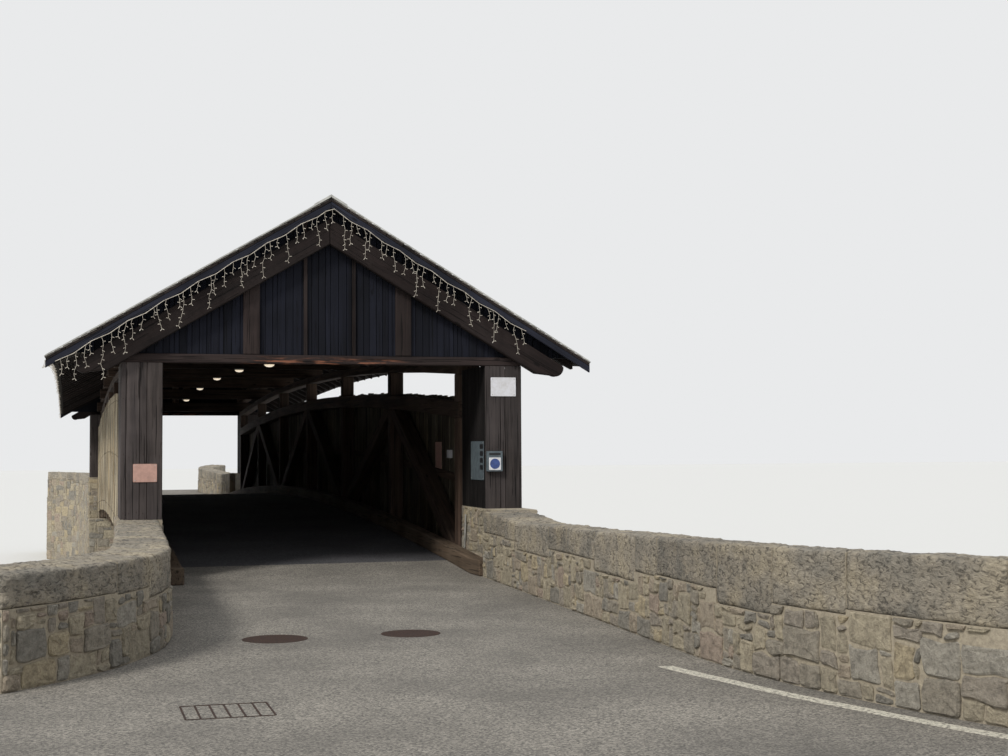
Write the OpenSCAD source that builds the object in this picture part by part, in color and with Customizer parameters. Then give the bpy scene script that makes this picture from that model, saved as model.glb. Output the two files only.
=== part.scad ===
// Covered timber road bridge on stone abutments, drawn at half of full size, in millimetres.
// X runs across the bridge, Y along it from the near portal face to the far one,
// and Z up from the foot of the abutments. The origin is on the near abutment's foot,
// under the middle of the near portal.

/* [Span and level] */
// Length of the bridge from portal face to portal face
bridge_len = 16100; // [11000:100:18000]
// Rise of deck, chords and roof at mid-span
camber = 280; // [120:10:320]
// Number of truss bays between the portals
bays = 6; // [4:2:8]
// Height of the roadway at the portals above the foot of the abutments
road_level = 1250; // [900:10:2000]

/* [Portal casings] */
// Clear width of the roadway between the portal casings
clear_w = 2200; // [2000:10:2600]
// Width of one boarded portal casing
casing_w = 265; // [220:5:340]
// Length of one portal casing along the bridge
casing_d = 655; // [500:5:800]
// Thickness of the casing boards
casing_t = 16; // [10:1:24]
// Height of the casing tops above the roadway
casing_top = 1440; // [1300:10:1700]
// Side of the square posts that stand in the casings
portal_post_w = 90; // [70:5:110]

/* [Trusses] */
// Side of the square truss timbers
timber = 120; // [90:5:150]
// Gap across the bridge from the casing's inner face in to the truss
truss_inset = 25; // [10:5:60]
// Underside of the lower chord below the roadway
chord_low = 150; // [130:5:200]
// Top of the lower chord above the roadway
chord_high = 20; // [0:5:60]
// Top of the upper chord above the roadway
rail_high = 1165; // [1000:5:1250]
// Height of the wall plate that lies on the posts
plate_h = 73; // [60:1:90]
// Height of the tie beams
tie_h = 150; // [110:5:180]
// Height of the pole plates that carry the rafters
pole_h = 152; // [120:1:180]

/* [Boarding] */
// Thickness of the side boards
board_t = 20; // [12:1:28]
// Thickness of the rails behind the side boards
rail_t = 20; // [14:1:30]
// Height of one boarding rail
rail_h = 60; // [45:5:80]
// Middle of the middle rail above the roadway
rail_mid = 560; // [480:10:640]
// Lower edge of the side boards below the roadway
board_low = 200; // [170:5:260]

/* [Deck] */
// Thickness of the asphalt on the deck
asphalt_t = 25; // [20:1:40]
// Thickness of the bearing planks
plank_t = 35; // [25:1:50]
// Width of one stringer
stringer_w = 80; // [60:5:110]
// Number of stringers
stringers = 5; // [3:2:7]
// Height of the floor beams
floor_beam_h = 150; // [120:5:200]
// Width of the curb timbers
curb_w = 100; // [70:5:130]
// Height of the curb timbers
curb_h = 110; // [80:5:140]
// Length by which the curbs run out past the portals
curb_out = 270; // [100:5:270]

/* [Roof] */
// Height of the ridge of the roof above the roadway at the portals
ridge_top = 2573; // [2480:1:2700]
// Height of the eaves' upper edge above the roadway at the portals
eave_top = 1475; // [1400:5:1540]
// Distance of the eaves from the centre line
eave_x = 1840; // [1780:10:1900]
// Thickness of the shingle covering
cover_t = 15; // [12:1:24]
// Thickness of the roof boards
roof_board_t = 15; // [12:1:24]
// Depth of the common rafters
rafter_d = 85; // [70:5:100]
// Depth of the rafters' tapered ends at the eaves
tail_d = 40; // [30:5:65]
// Width of the common rafters
rafter_w = 60; // [45:5:80]
// Largest distance from rafter to rafter
rafter_pitch = 450; // [350:10:600]
// Length by which the roof runs out past the portal faces
verge_out = 104; // [90:2:160]
// Width of the ridge beam
ridge_w = 100; // [70:5:120]
// Height of the ridge beam
ridge_h = 140; // [100:5:180]
// Width of each side of the ridge cap
cap_w = 110; // [80:5:160]

/* [Gables] */
// Height of the beam under the gable boards
gable_tie_h = 60; // [50:2:90]
// Thickness of that beam along the bridge
gable_tie_t = 60; // [40:2:66]
// Distance from the roof's top down to the raking beam
rake_drop = 145; // [120:5:180]
// Height of the raking beam, measured plumb
rake_h = 175; // [140:5:220]
// Thickness of the raking beam along the bridge
rake_t = 56; // [40:2:70]
// Distance of the raking beam's rounded nose from the centre line
rake_nose_x = 1600; // [1540:10:1640]
// Height of the verge boards, measured plumb
verge_h = 46; // [36:2:70]
// Thickness of the verge boards
verge_t = 18; // [12:1:24]
// Thickness of the gable boards
gable_board_t = 18; // [12:1:24]
// Width of the gable struts
strut_w = 110; // [80:5:140]
// Distance of the gable struts from the centre line
strut_x = 520; // [440:10:600]

/* [Stonework] */
// Foot of the right casing above the roadway
right_base = 444; // [400:2:520]
// Foot of the left casing above the roadway
left_base = 410; // [380:2:500]
// Height of the rubble under the coping above the roadway
rubble_top = 275; // [220:5:320]
// Thickness of the right wing wall
right_wall_t = 300; // [220:5:340]
// Thickness of the left wing wall
left_wall_t = 260; // [220:5:320]
// Thickness of the roadway layer on the abutments
approach_t = 50; // [30:5:80]
// Length of the abutment from the portal face under the span
abutment_d = 950; // [850:10:1200]
// Joint between coping blocks
stone_joint = 4; // [2:1:8]
// Height by which a coping block's bed lies above or below the rubble's mean top
bed_shift = 35; // [0:5:50]

/* [Wing walls] */
// Distance of the right wing wall's face in from its casing's
right_wall_in = 100; // [0:10:110]
// Length by which the right pedestal stands before the portal
right_lead = 300; // [290:10:420]
// Straight length of the right wing wall
right_straight = 3900; // [2600:50:5000]
// Radius of the bend in the right wing wall's face
right_bend_r = 4800; // [3600:100:6500]
// Heading of the right wing wall's end, in degrees outwards
right_turn = 24.6; // [12:0.1:30]
// Height of the right coping's end above the roadway
right_end_h = 545; // [480:5:640]
// Straight length of the left wing wall
left_straight = 2870; // [2000:50:3800]
// Radius of the bend in the left wing wall's face
left_bend_r = 2190; // [1600:50:3000]
// Heading of the left wing wall's end, in degrees outwards
left_turn = 46.6; // [30:0.1:55]
// Height of the left coping's end above the roadway
left_end_h = 440; // [400:5:560]

/* [Lamps] */
// Radius of a ceiling lamp
lamp_r = 48; // [35:1:70]
// Height of a ceiling lamp
lamp_h = 34; // [20:1:50]

/* [Hidden] */
$fn = 32;

seat_gap = 0.3;
joint = 2;
half_len = bridge_len / 2;
truss_in = clear_w / 2 - truss_inset;
truss_out = truss_in + timber;
casing_out = clear_w / 2 + casing_w;
panel_first = casing_d + timber / 2;
panel = (bridge_len - 2 * panel_first) / bays;
truss_low = rail_high - timber;
tie_low = casing_top + 3;
plate_low = tie_low - plate_h;
tie_top = tie_low + tie_h;
pole_top = tie_top + pole_h;

// Slope of the roof, and the plumb height of a layer whose thickness is measured square to it.
slope = (ridge_top - eave_top) / eave_x;
function plumb(t) = t * sqrt(1 + slope * slope);
function roof_line(x, drop) = ridge_top - slope * abs(x) - drop;
boards_under = plumb(cover_t + roof_board_t);
rafter_under = boards_under + plumb(rafter_d);

// The camber: long timbers are straight from half panel to half panel and follow this rise.
function arch(y) = camber * (1 - pow((y - half_len) / half_len, 2));
stations = concat([0, casing_d],
    [for (i = [0:2 * bays]) panel_first + i * panel / 2],
    [bridge_len - casing_d, bridge_len]);
profile = [for (s = stations) [s, arch(s)]];
function rise(y) = lookup(y, profile);
function level(y, h) = road_level + rise(y) + h;
function stops(a, b) = concat([a], [for (s = stations) if (s > a + 1 && s < b - 1) s], [b]);
function panel_y(i) = panel_first + i * panel;
function flip(list) = [for (i = [len(list) - 1:-1:0]) list[i]];
function lowest(y, w) = min(rise(y - w / 2), rise(y + w / 2));
function highest(y, w) = max(rise(y - w / 2), rise(y), rise(y + w / 2));

// Turns an outline drawn as [along Y, up Z] into a solid from x0 to x1.
module across(x0, x1) {
    translate([x0, 0, 0]) rotate([90, 0, 90]) linear_extrude(x1 - x0) children();
}

// Turns an outline drawn as [across X, up Z] into a solid from y0 to y1.
module along(y0, y1) {
    translate([0, y1, 0]) rotate([90, 0, 0]) linear_extrude(y1 - y0) children();
}

// The side view of a long piece that lies from lo to hi above the cambered roadway.
module run_outline(y0, y1, lo, hi) {
    ys = stops(y0, y1);
    polygon(concat([for (y = ys) [y, level(y, lo)]], flip([for (y = ys) [y, level(y, hi)]])));
}

module run(x0, x1, y0, y1, lo, hi) {
    across(x0, x1) run_outline(y0, y1, lo, hi);
}

// A solid through sections that have equally many points, each clockwise along the way.
module loft(sections) {
    n = len(sections[0]);
    m = len(sections);
    polyhedron(
        points = [for (s = sections) each s],
        faces = concat(
            [[for (i = [0:n - 1]) i]],
            [for (k = [0:m - 2], i = [0:n - 1])
                [k * n + i, (k + 1) * n + i, (k + 1) * n + (i + 1) % n, k * n + (i + 1) % n]],
            [[for (i = [n - 1:-1:0]) (m - 1) * n + i]]),
        convexity = 4);
}

module left() { mirror([1, 0, 0]) children(); }
module far() { translate([0, bridge_len, 0]) mirror([0, 1, 0]) children(); }
module both_sides() { children(); left() children(); }
module both_ends() { children(); far() children(); }

// A wing wall's inner face runs straight from the portal, then turns outwards on an arc.
// Each is [start x, start y, first heading, straight length, radius, last heading, thickness].
left_wall_out = 25;
right_wing = [clear_w / 2 - right_wall_in, -right_lead, -2.65,
    right_straight, right_bend_r, right_turn, right_wall_t];
left_wing = [clear_w / 2 + left_wall_out, 0, 2.1,
    left_straight, left_bend_r, left_turn, left_wall_t];
function arc_len(w) = w[4] * (w[5] - w[2]) * PI / 180;
function wing_len(w) = w[3] + arc_len(w);
function bend(w, s) = w[2] + max(0, s - w[3]) / w[4] * 180 / PI;
function wing_point(w, s, out) = let (st = min(s, w[3]), h = bend(w, s))
    [w[0] + st * sin(w[2]) + w[4] * (cos(w[2]) - cos(h)) + out * cos(h),
     w[1] - st * cos(w[2]) - w[4] * (sin(h) - sin(w[2])) + out * sin(h)];
arc_steps = 10;
wing_lap = 20;
function wing_stops(w, start) =
    concat([start], [for (i = [0:arc_steps]) w[3] + i * arc_len(w) / arc_steps]);
function wing_edge(w, out, start = -wing_lap) =
    [for (s = wing_stops(w, start)) wing_point(w, s, out)];
function mirrored(points) = [for (p = points) [-p[0], p[1]]];
pedestal_edge = 15;
pedestal_out = casing_out + pedestal_edge;

// Heights of the coping's upper edges along a wing wall, as [distance, height above the road].
// The coping falls inwards, and the right one dips behind its pedestal.
coping_fall = 15;
dip_at = 900;
dip = 39;
function right_top_in() = [[0, right_base], [dip_at, right_base - dip],
    [wing_len(right_wing), right_end_h - coping_fall]];
function right_top_out() = [[0, right_base], [wing_len(right_wing), right_end_h]];
function left_top_in() = [[0, left_base], [wing_len(left_wing), left_end_h - coping_fall]];
function left_top_out() = [[0, left_base], [wing_len(left_wing), left_end_h]];
right_blocks = 12;
left_blocks = 8;
seat_level = lowest(panel_first, timber) - chord_low - floor_beam_h - 2 * seat_gap;

// The front runs square across from the right wing wall's end, past the shorter left wall.
right_end = wing_point(right_wing, wing_len(right_wing), -joint);
left_end = wing_point(left_wing, wing_len(left_wing) + joint, left_wall_t);
front_corner = [-left_end[0], right_end[1]];

// The masonry between and under the wing walls, stepped down to a seat for the span.
module abutment() {
    linear_extrude(road_level - approach_t) polygon(concat(
        [[pedestal_out, casing_d - joint], [pedestal_out, 0]],
        wing_edge(right_wing, right_wall_t), [right_end, front_corner],
        flip(mirrored(wing_edge(left_wing, left_wall_t))),
        [[-pedestal_out, casing_d - joint]]));
    translate([-pedestal_out, 0, 0])
        cube([2 * pedestal_out, abutment_d, road_level + seat_level]);
}
module near_abutment() { color("dimgray") abutment(); }
module far_abutment() { color("dimgray") far() abutment(); }

// The roadway's layer on an abutment, which fills the space between the wing walls.
module approach() {
    difference() {
        translate([0, 0, road_level - approach_t]) linear_extrude(approach_t + camber)
            polygon(concat(
                [[clear_w / 2 - joint, casing_d - joint],
                 [clear_w / 2 - joint, right_wing[1] + wing_lap + joint]],
                wing_edge(right_wing, -joint), [front_corner],
                mirrored([left_end, wing_point(left_wing, wing_len(left_wing) + joint, -joint)]),
                flip(mirrored(wing_edge(left_wing, -joint, joint))),
                [[-clear_w / 2 + joint, -joint], [-clear_w / 2 + joint, casing_d - joint]]));
        run(-2 * clear_w, 2 * clear_w, -bridge_len, casing_d, 0, 2 * camber);
    }
}
module approaches() { color("slategray") both_ends() approach(); }

// Coping blocks differ in length, and each has a bed of its own height on the rubble.
joint_shift = 0.22;
function coping_start(w) = max(0, w[6] * sin(w[2])) + 2 * stone_joint;
function coping_cut(w, blocks, i) = let (step = (wing_len(w) - coping_start(w)) / blocks)
    i == 0 ? coping_start(w) : i == blocks ? wing_len(w)
        : coping_start(w) + step * (i + joint_shift * sin(140 * i));
function bed(i) = rubble_top + bed_shift * sin(117 * i + 40);

// The space over a coping block's bed, from the middle of one joint to that of the next.
module over_bed(w, blocks, i) {
    s0 = i == 0 ? -2 * wing_lap : coping_cut(w, blocks, i) - stone_joint / 2;
    s1 = i == blocks - 1 ? wing_len(w) + wing_lap
        : coping_cut(w, blocks, i + 1) - stone_joint / 2;
    stretch = [for (k = [0:2]) s0 + k * (s1 - s0) / 2];
    translate([0, 0, road_level + bed(i)]) linear_extrude(rubble_top)
        polygon(concat([for (s = stretch) wing_point(w, s, -wing_lap)],
            flip([for (s = stretch) wing_point(w, s, w[6] + wing_lap)])));
}

// Rubble wing wall with the pedestal that the portal casing stands on.
module wing_wall(w, base, blocks) {
    difference() {
        translate([0, 0, road_level - approach_t])
            linear_extrude(approach_t + rubble_top + bed_shift)
            polygon(concat(wing_edge(w, 0), flip(wing_edge(w, w[6]))));
        for (i = [0:blocks - 1]) over_bed(w, blocks, i);
    }
    translate([clear_w / 2, w[1], road_level - approach_t])
        cube([pedestal_out - clear_w / 2, casing_d - joint - w[1], approach_t + base]);
}
module near_right_wall() { color("gray") wing_wall(right_wing, right_base, right_blocks); }
module near_left_wall() { color("gray") left() wing_wall(left_wing, left_base, left_blocks); }
module far_right_wall() {
    color("gray") far() wing_wall(right_wing, right_base, right_blocks);
}
module far_left_wall() {
    color("gray") far() left() wing_wall(left_wing, left_base, left_blocks);
}

// One coping block between two distances along a wing wall.
module coping_block(w, s0, s1, low, top_in, top_out) {
    loft([for (s = [s0, (s0 + s1) / 2, s1]) let (
            a = wing_point(w, s, 0), b = wing_point(w, s, w[6]))
        [[b[0], b[1], low], [b[0], b[1], road_level + lookup(s, top_out)],
         [a[0], a[1], road_level + lookup(s, top_in)], [a[0], a[1], low]]]);
}
module coping(w, blocks, top_in, top_out) {
    for (i = [0:blocks - 1])
        coping_block(w, coping_cut(w, blocks, i),
            coping_cut(w, blocks, i + 1) - (i < blocks - 1 ? stone_joint : 0),
            road_level + bed(i), top_in, top_out);
}
module copings() {
    coping(right_wing, right_blocks, right_top_in(), right_top_out());
    left() coping(left_wing, left_blocks, left_top_in(), left_top_out());
}
module near_coping() { color("darkgray") copings(); }
module far_coping() { color("darkgray") far() copings(); }

// A boarded box round the portal posts, open at its foot and top.
module casing(base) {
    translate([clear_w / 2, 0, road_level + base]) difference() {
        cube([casing_w, casing_d, casing_top - base]);
        translate([casing_t, casing_t, -1])
            cube([casing_w - 2 * casing_t, casing_d - 2 * casing_t, casing_top - base + 2]);
    }
}
module casings() {
    casing(right_base);
    left() casing(left_base);
}
module near_casings() { color("saddlebrown") casings(); }
module far_casings() { color("saddlebrown") far() casings(); }

post_inset = 110;
post_back = 14;
post_places = [post_inset, casing_d - casing_t - portal_post_w - post_back];
module portal_post_pair(base) {
    for (y = post_places)
        translate([clear_w / 2 + casing_t + joint, y, road_level + base])
            cube([portal_post_w, portal_post_w,
                tie_top + lowest(y + portal_post_w / 2, portal_post_w) - base - seat_gap]);
}
module portal_posts() {
    color("peru") both_ends() {
        portal_post_pair(right_base);
        left() portal_post_pair(left_base);
    }
}

deck_half = truss_in - joint;
deck_y0 = casing_d;
deck_y1 = bridge_len - casing_d;
module carriageway() {
    color("dimgray") run(-deck_half, deck_half, deck_y0, deck_y1, -asphalt_t, 0);
}
module deck_planks() {
    color("burlywood")
        run(-deck_half, deck_half, deck_y0, deck_y1, -asphalt_t - plank_t, -asphalt_t);
}
stringer_edge = 70;
module stringers() {
    reach = deck_half - stringer_w / 2 - stringer_edge;
    color("sienna") for (i = [0:stringers - 1]) {
        x = -reach + i * 2 * reach / (stringers - 1);
        run(x - stringer_w / 2, x + stringer_w / 2, deck_y0, deck_y1, -chord_low,
            -asphalt_t - plank_t);
    }
}
floor_beam_half = truss_out + rail_t - joint;
module floor_beams() {
    color("saddlebrown") for (i = [0:2 * bays]) {
        y = panel_first + i * panel / 2;
        translate([-floor_beam_half, y - timber / 2,
                road_level + lowest(y, timber) - chord_low - floor_beam_h - seat_gap])
            cube([2 * floor_beam_half, timber, floor_beam_h]);
    }
}
module curbs() {
    color("tan") both_sides()
        run(truss_in - curb_w, truss_in, -curb_out, bridge_len + curb_out, 0, curb_h);
}

module lower_chord() {
    run(truss_in, truss_out, deck_y0, deck_y1, -chord_low, chord_high);
}
module upper_chord() {
    run(truss_in, truss_out, deck_y0, deck_y1, truss_low, rail_high);
}
module right_lower_chord() { color("sienna") lower_chord(); }
module left_lower_chord() { color("sienna") left() lower_chord(); }
module right_upper_chord() { color("sienna") upper_chord(); }
module left_upper_chord() { color("sienna") left() upper_chord(); }

// Posts between the chords, and the short posts on the upper chord that carry the plate.
module posts() {
    for (i = [0:bays]) {
        y = panel_y(i);
        run(truss_in, truss_out, y - timber / 2, y + timber / 2, chord_high, truss_low);
        run(truss_in, truss_out, y - timber / 2, y + timber / 2, rail_high, plate_low);
    }
}
module right_posts() { color("peru") posts(); }
module left_posts() { color("peru") left() posts(); }

// Diagonals fall from the heads of the odd posts to the feet of the even ones.
module diagonal(i) {
    y0 = panel_y(i) + timber / 2;
    y1 = panel_y(i + 1) - timber / 2;
    head = i % 2 == 0 ? y1 : y0;
    foot = i % 2 == 0 ? y0 : y1;
    a = [foot, level(foot, chord_high)];
    b = [head, level(head, truss_low)];
    way = (b - a) / norm(b - a);
    side = [-way[1], way[0]] * timber / 2;
    across(truss_in, truss_out) intersection() {
        run_outline(y0, y1, chord_high, truss_low);
        polygon([a - way * timber + side, b + way * timber + side,
            b + way * timber - side, a - way * timber - side]);
    }
}
module diagonals() { for (i = [0:bays - 1]) diagonal(i); }
module right_diagonals() { color("peru") diagonals(); }
module left_diagonals() { color("peru") left() diagonals(); }

module boarding_rails() {
    color("sienna") both_sides()
        for (h = [(chord_high - chord_low) / 2, rail_mid, rail_high - timber / 2])
        run(truss_out, truss_out + rail_t, deck_y0, deck_y1, h - rail_h / 2, h + rail_h / 2);
}
board_over = 20;
module boarding() {
    run(truss_out + rail_t, truss_out + rail_t + board_t, deck_y0, deck_y1,
        -board_low, rail_high + board_over);
}
module right_boarding() { color("rosybrown") boarding(); }
module left_boarding() { color("rosybrown") left() boarding(); }

module wall_plates() {
    color("sienna") both_sides() run(truss_in, truss_out, deck_y0, deck_y1, plate_low, tie_low);
}
tie_end = 65;
tie_half = truss_out + tie_end;
module tie_beams() {
    color("saddlebrown") for (i = [0:bays]) {
        y = panel_y(i);
        foot = tie_low + highest(y, timber) + seat_gap;
        head = tie_top + lowest(y, timber) - seat_gap;
        translate([-tie_half, y - timber / 2, road_level + foot])
            cube([2 * tie_half, timber, head - foot]);
    }
}
module pole_plates() {
    color("sienna") both_sides()
        run(truss_in, truss_out, post_places[0], bridge_len - post_places[0], tie_top, pole_top);
}

ridge_notch = 12;
ridge_beam_top = roof_line(ridge_w / 2, rafter_under) + ridge_notch;
module king_posts() {
    color("peru") for (i = [0:bays]) {
        y = panel_y(i);
        foot = tie_top + lowest(y, timber);
        head = ridge_beam_top - ridge_h + lowest(y, timber) - seat_gap;
        translate([-ridge_w / 2, y - timber / 2, road_level + foot])
            cube([ridge_w, timber, head - foot]);
    }
}
module ridge_beam() {
    y0 = strut_t + gable_board_t + 2 * joint;
    color("sienna") run(-ridge_w / 2, ridge_w / 2, y0, bridge_len - y0,
        ridge_beam_top - ridge_h, ridge_beam_top);
}

// A rafter is notched over the ridge beam and over the pole plate, and its tail is tapered.
rafter_back = 45;
rafter_foot_x = eave_x - rafter_back;
taper_x = truss_out + joint;
module rafter(y) {
    drop = boards_under + seat_gap;
    along(y - rafter_w / 2, y + rafter_w / 2) translate([0, road_level]) difference() {
        translate([0, lowest(y, rafter_w)]) polygon([
            [joint / 2, roof_line(joint / 2, drop)], [rafter_foot_x, roof_line(rafter_foot_x, drop)],
            [rafter_foot_x, roof_line(rafter_foot_x, boards_under + plumb(tail_d))],
            [taper_x, roof_line(taper_x, rafter_under)],
            [joint / 2, roof_line(joint / 2, rafter_under)]]);
        square([ridge_w / 2 + seat_gap, ridge_beam_top + highest(y, rafter_w) + seat_gap]);
        translate([truss_in - seat_gap, 0])
            square([timber + 2 * seat_gap, pole_top + highest(y, rafter_w) + seat_gap]);
    }
}
rafter_inset = 30;
first_rafter = post_places[0] + rafter_inset + rafter_w / 2;
rafters_n = ceil((bridge_len - 2 * first_rafter) / rafter_pitch);
module rafters() {
    step = (bridge_len - 2 * first_rafter) / rafters_n;
    color("peru") both_sides() for (i = [0:rafters_n]) rafter(first_rafter + i * step);
}

// One side of a roof layer, between two depths under the roof's top.
roof_stops = concat([-verge_out], stations, [bridge_len + verge_out]);
module roof_layer(top, under) {
    loft([for (y = roof_stops) [for (c = [[0, under], [0, top], [eave_x, top], [eave_x, under]])
        [c[0], y, level(y, roof_line(c[0], c[1]))]]]);
}
module roof_boards() { roof_layer(plumb(cover_t), boards_under); }
module shingles() { roof_layer(0, plumb(cover_t)); }
module right_roof_boards() { color("burlywood") roof_boards(); }
module left_roof_boards() { color("burlywood") left() roof_boards(); }
module right_shingles() { color("dimgray") shingles(); }
module left_shingles() { color("dimgray") left() shingles(); }
cap_t = 12;
module ridge_cap() {
    color("gray") both_sides() loft([for (y = roof_stops)
        [for (c = [[0, 0], [0, -cap_t], [cap_w, -cap_t], [cap_w, 0]])
            [c[0], y, level(y, roof_line(c[0], c[1]))]]]);
}

// Half of the raking beam: it ends in a rounded nose under the eaves.
nose_r = 62;
nose_drop = 45;
nose_neck = 150;
module rake_half() {
    centre = [rake_nose_x, roof_line(rake_nose_x, rake_drop) - nose_drop];
    tip = centre[0] + nose_r;
    neck_x = rake_nose_x - nose_neck;
    along(-rake_t - seat_gap, -seat_gap) translate([0, road_level]) polygon(concat(
        [[joint / 2, roof_line(joint / 2, rake_drop + rake_h)],
         [joint / 2, roof_line(joint / 2, rake_drop)], [tip, roof_line(tip, rake_drop)]],
        [for (a = [0:-15:-120]) centre + nose_r * [cos(a), sin(a)]],
        [[neck_x, roof_line(neck_x, rake_drop + rake_h)]]));
}
strut_t = 30;
module gable_frame() {
    both_sides() {
        rake_half();
        translate([strut_x - strut_w / 2, 0, road_level + casing_top + gable_tie_h + seat_gap])
            cube([strut_w, strut_t, roof_line(strut_x, rake_drop + rake_h / 2)
                - casing_top - gable_tie_h]);
    }
    translate([-casing_out, 0, road_level + casing_top])
        cube([2 * casing_out, gable_tie_t, gable_tie_h]);
}
module gable_frames() { color("sienna") both_ends() gable_frame(); }
module gable_boards() {
    foot = casing_top + gable_tie_h + seat_gap;
    drop = boards_under + seat_gap;
    edge = (ridge_top - drop - foot) / slope;
    color("rosybrown") both_ends()
        along(strut_t + seat_gap, strut_t + seat_gap + gable_board_t) translate([0, road_level])
            polygon([[-edge, foot], [edge, foot], [0, ridge_top - drop]]);
}
module verge_boards() {
    top = boards_under + seat_gap;
    color("slategray") both_ends() both_sides()
        along(-verge_out + joint, -verge_out + joint + verge_t) translate([0, road_level]) polygon([
            [joint / 2, roof_line(joint / 2, top)], [eave_x, roof_line(eave_x, top)],
            [eave_x, roof_line(eave_x, top + verge_h)],
            [joint / 2, roof_line(joint / 2, top + verge_h)]]);
}

module ceiling_lamps() {
    color("white") for (i = [1:bays - 1]) {
        y = panel_y(i);
        translate([0, y, road_level + tie_low + highest(y, timber) - lamp_h])
            cylinder(h = lamp_h, r = lamp_r);
    }
}

// The lead of the hanging lights, hooked along the near verge boards in shallow loops.
lead_r = 2.5;
lead_from = -1780;
lead_to = 1370;
lead_rings = 57;
hook_gap = 225;
hook_up = 6;
loop_sag = 16;
function lead_point(k) = let (
        x = lead_from + k * (lead_to - lead_from) / (lead_rings - 1),
        sag = loop_sag * (1 - cos(360 * (x - lead_from) / hook_gap)) / 2)
    [x, -verge_out + joint - lead_r - seat_gap,
     road_level + roof_line(x, boards_under + verge_h - hook_up) - sag];

// A second lead runs along the edge of the left roof boards.
eave_lead_x = eave_x + lead_r + seat_gap;
function eave_lead_point(y) =
    [-eave_lead_x, y, level(y, roof_line(eave_x, boards_under - lead_r))];
module light_string() {
    ring = [for (a = [0:45:315]) lead_r * [cos(a), sin(a)]];
    color("ivory") {
        loft([for (k = [0:lead_rings - 1]) let (p = lead_point(k))
            [for (c = ring) p + [0, c[1], c[0]]]]);
        loft([for (y = roof_stops) let (p = eave_lead_point(y))
            [for (c = ring) p + [c[0], 0, c[1]]]]);
    }
}

near_abutment();
far_abutment();
approaches();
near_right_wall();
near_left_wall();
far_right_wall();
far_left_wall();
near_coping();
far_coping();
near_casings();
far_casings();
portal_posts();
carriageway();
deck_planks();
stringers();
floor_beams();
curbs();
right_lower_chord();
left_lower_chord();
right_upper_chord();
left_upper_chord();
right_posts();
left_posts();
right_diagonals();
left_diagonals();
boarding_rails();
right_boarding();
left_boarding();
wall_plates();
tie_beams();
pole_plates();
king_posts();
ridge_beam();
rafters();
right_roof_boards();
left_roof_boards();
right_shingles();
left_shingles();
ridge_cap();
gable_frames();
gable_boards();
verge_boards();
ceiling_lamps();
light_string();
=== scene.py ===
import math
import random
from itertools import accumulate

import bmesh
import bpy
import numpy as np
from mathutils import Matrix, Vector, noise


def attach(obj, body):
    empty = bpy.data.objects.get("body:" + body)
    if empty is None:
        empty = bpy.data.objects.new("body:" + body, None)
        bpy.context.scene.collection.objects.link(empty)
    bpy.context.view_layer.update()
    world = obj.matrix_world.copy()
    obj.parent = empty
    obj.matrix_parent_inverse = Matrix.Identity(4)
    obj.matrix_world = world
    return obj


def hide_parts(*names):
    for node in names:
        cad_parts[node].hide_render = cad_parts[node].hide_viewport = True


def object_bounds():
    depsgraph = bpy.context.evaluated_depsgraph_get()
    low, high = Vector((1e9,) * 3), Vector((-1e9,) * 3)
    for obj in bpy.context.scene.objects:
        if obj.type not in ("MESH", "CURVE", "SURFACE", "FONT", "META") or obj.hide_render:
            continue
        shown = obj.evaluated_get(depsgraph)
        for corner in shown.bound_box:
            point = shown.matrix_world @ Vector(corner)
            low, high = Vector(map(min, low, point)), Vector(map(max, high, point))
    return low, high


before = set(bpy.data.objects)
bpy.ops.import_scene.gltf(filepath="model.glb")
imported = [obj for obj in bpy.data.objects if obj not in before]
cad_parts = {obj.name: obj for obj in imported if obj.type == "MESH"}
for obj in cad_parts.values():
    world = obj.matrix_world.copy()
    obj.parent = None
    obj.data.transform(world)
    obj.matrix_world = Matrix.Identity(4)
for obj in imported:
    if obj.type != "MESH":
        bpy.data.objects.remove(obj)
cadLow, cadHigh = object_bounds()
print("frame loaded")

# The bridge's own sizes in metres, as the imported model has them.
bridge = {
    "length": 16.1, "camber": 0.28, "bays": 6, "roadLevel": 1.25,
    "clearWidth": 2.2, "casingWidth": 0.265, "casingDepth": 0.655, "casingTop": 1.44,
    "pedestalEdge": 0.015, "timber": 0.12, "rubbleTop": 0.275, "layer": 0.05,
    "abutmentDepth": 0.95, "ridgeTop": 2.573, "eaveTop": 1.475, "eaveX": 1.84,
    "coverThickness": 0.015, "roofBoard": 0.015, "vergeOut": 0.104,
}
road = bridge["roadLevel"]
slope = (bridge["ridgeTop"] - bridge["eaveTop"]) / bridge["eaveX"]
slopeLength = math.sqrt(1 + slope * slope)
firstPanel = bridge["casingDepth"] + bridge["timber"] / 2
panel = (bridge["length"] - 2 * firstPanel) / bridge["bays"]


def archRise(y):
    halfLength = bridge["length"] / 2
    return bridge["camber"] * (1 - ((y - halfLength) / halfLength) ** 2)


# The camber is a chain of straight runs between these places along the bridge.
stationY = [0, bridge["casingDepth"]]
stationY += [firstPanel + i * panel / 2 for i in range(2 * bridge["bays"] + 1)]
stationY += [bridge["length"] - bridge["casingDepth"], bridge["length"]]
stationRise = [archRise(y) for y in stationY]
roofStops = [-bridge["vergeOut"]] + stationY + [bridge["length"] + bridge["vergeOut"]]
trussRun = (bridge["casingDepth"], bridge["length"] - bridge["casingDepth"])


def rise(y):
    return float(np.interp(y, stationY, stationRise))


def roofLine(x, drop):
    return bridge["ridgeTop"] - slope * abs(x) - drop


def sideName(side):
    return "right" if side > 0 else "left"


# Turns a place at the near right corner into the same place at any corner.
def endPlace(end, side, x, y, z):
    return (side * x, y if end == "near" else bridge["length"] - y, z)


# Reads a value off a list of (place, value) pairs.
def between(pairs, place):
    return float(np.interp(place, [p[0] for p in pairs], [p[1] for p in pairs]))


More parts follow.
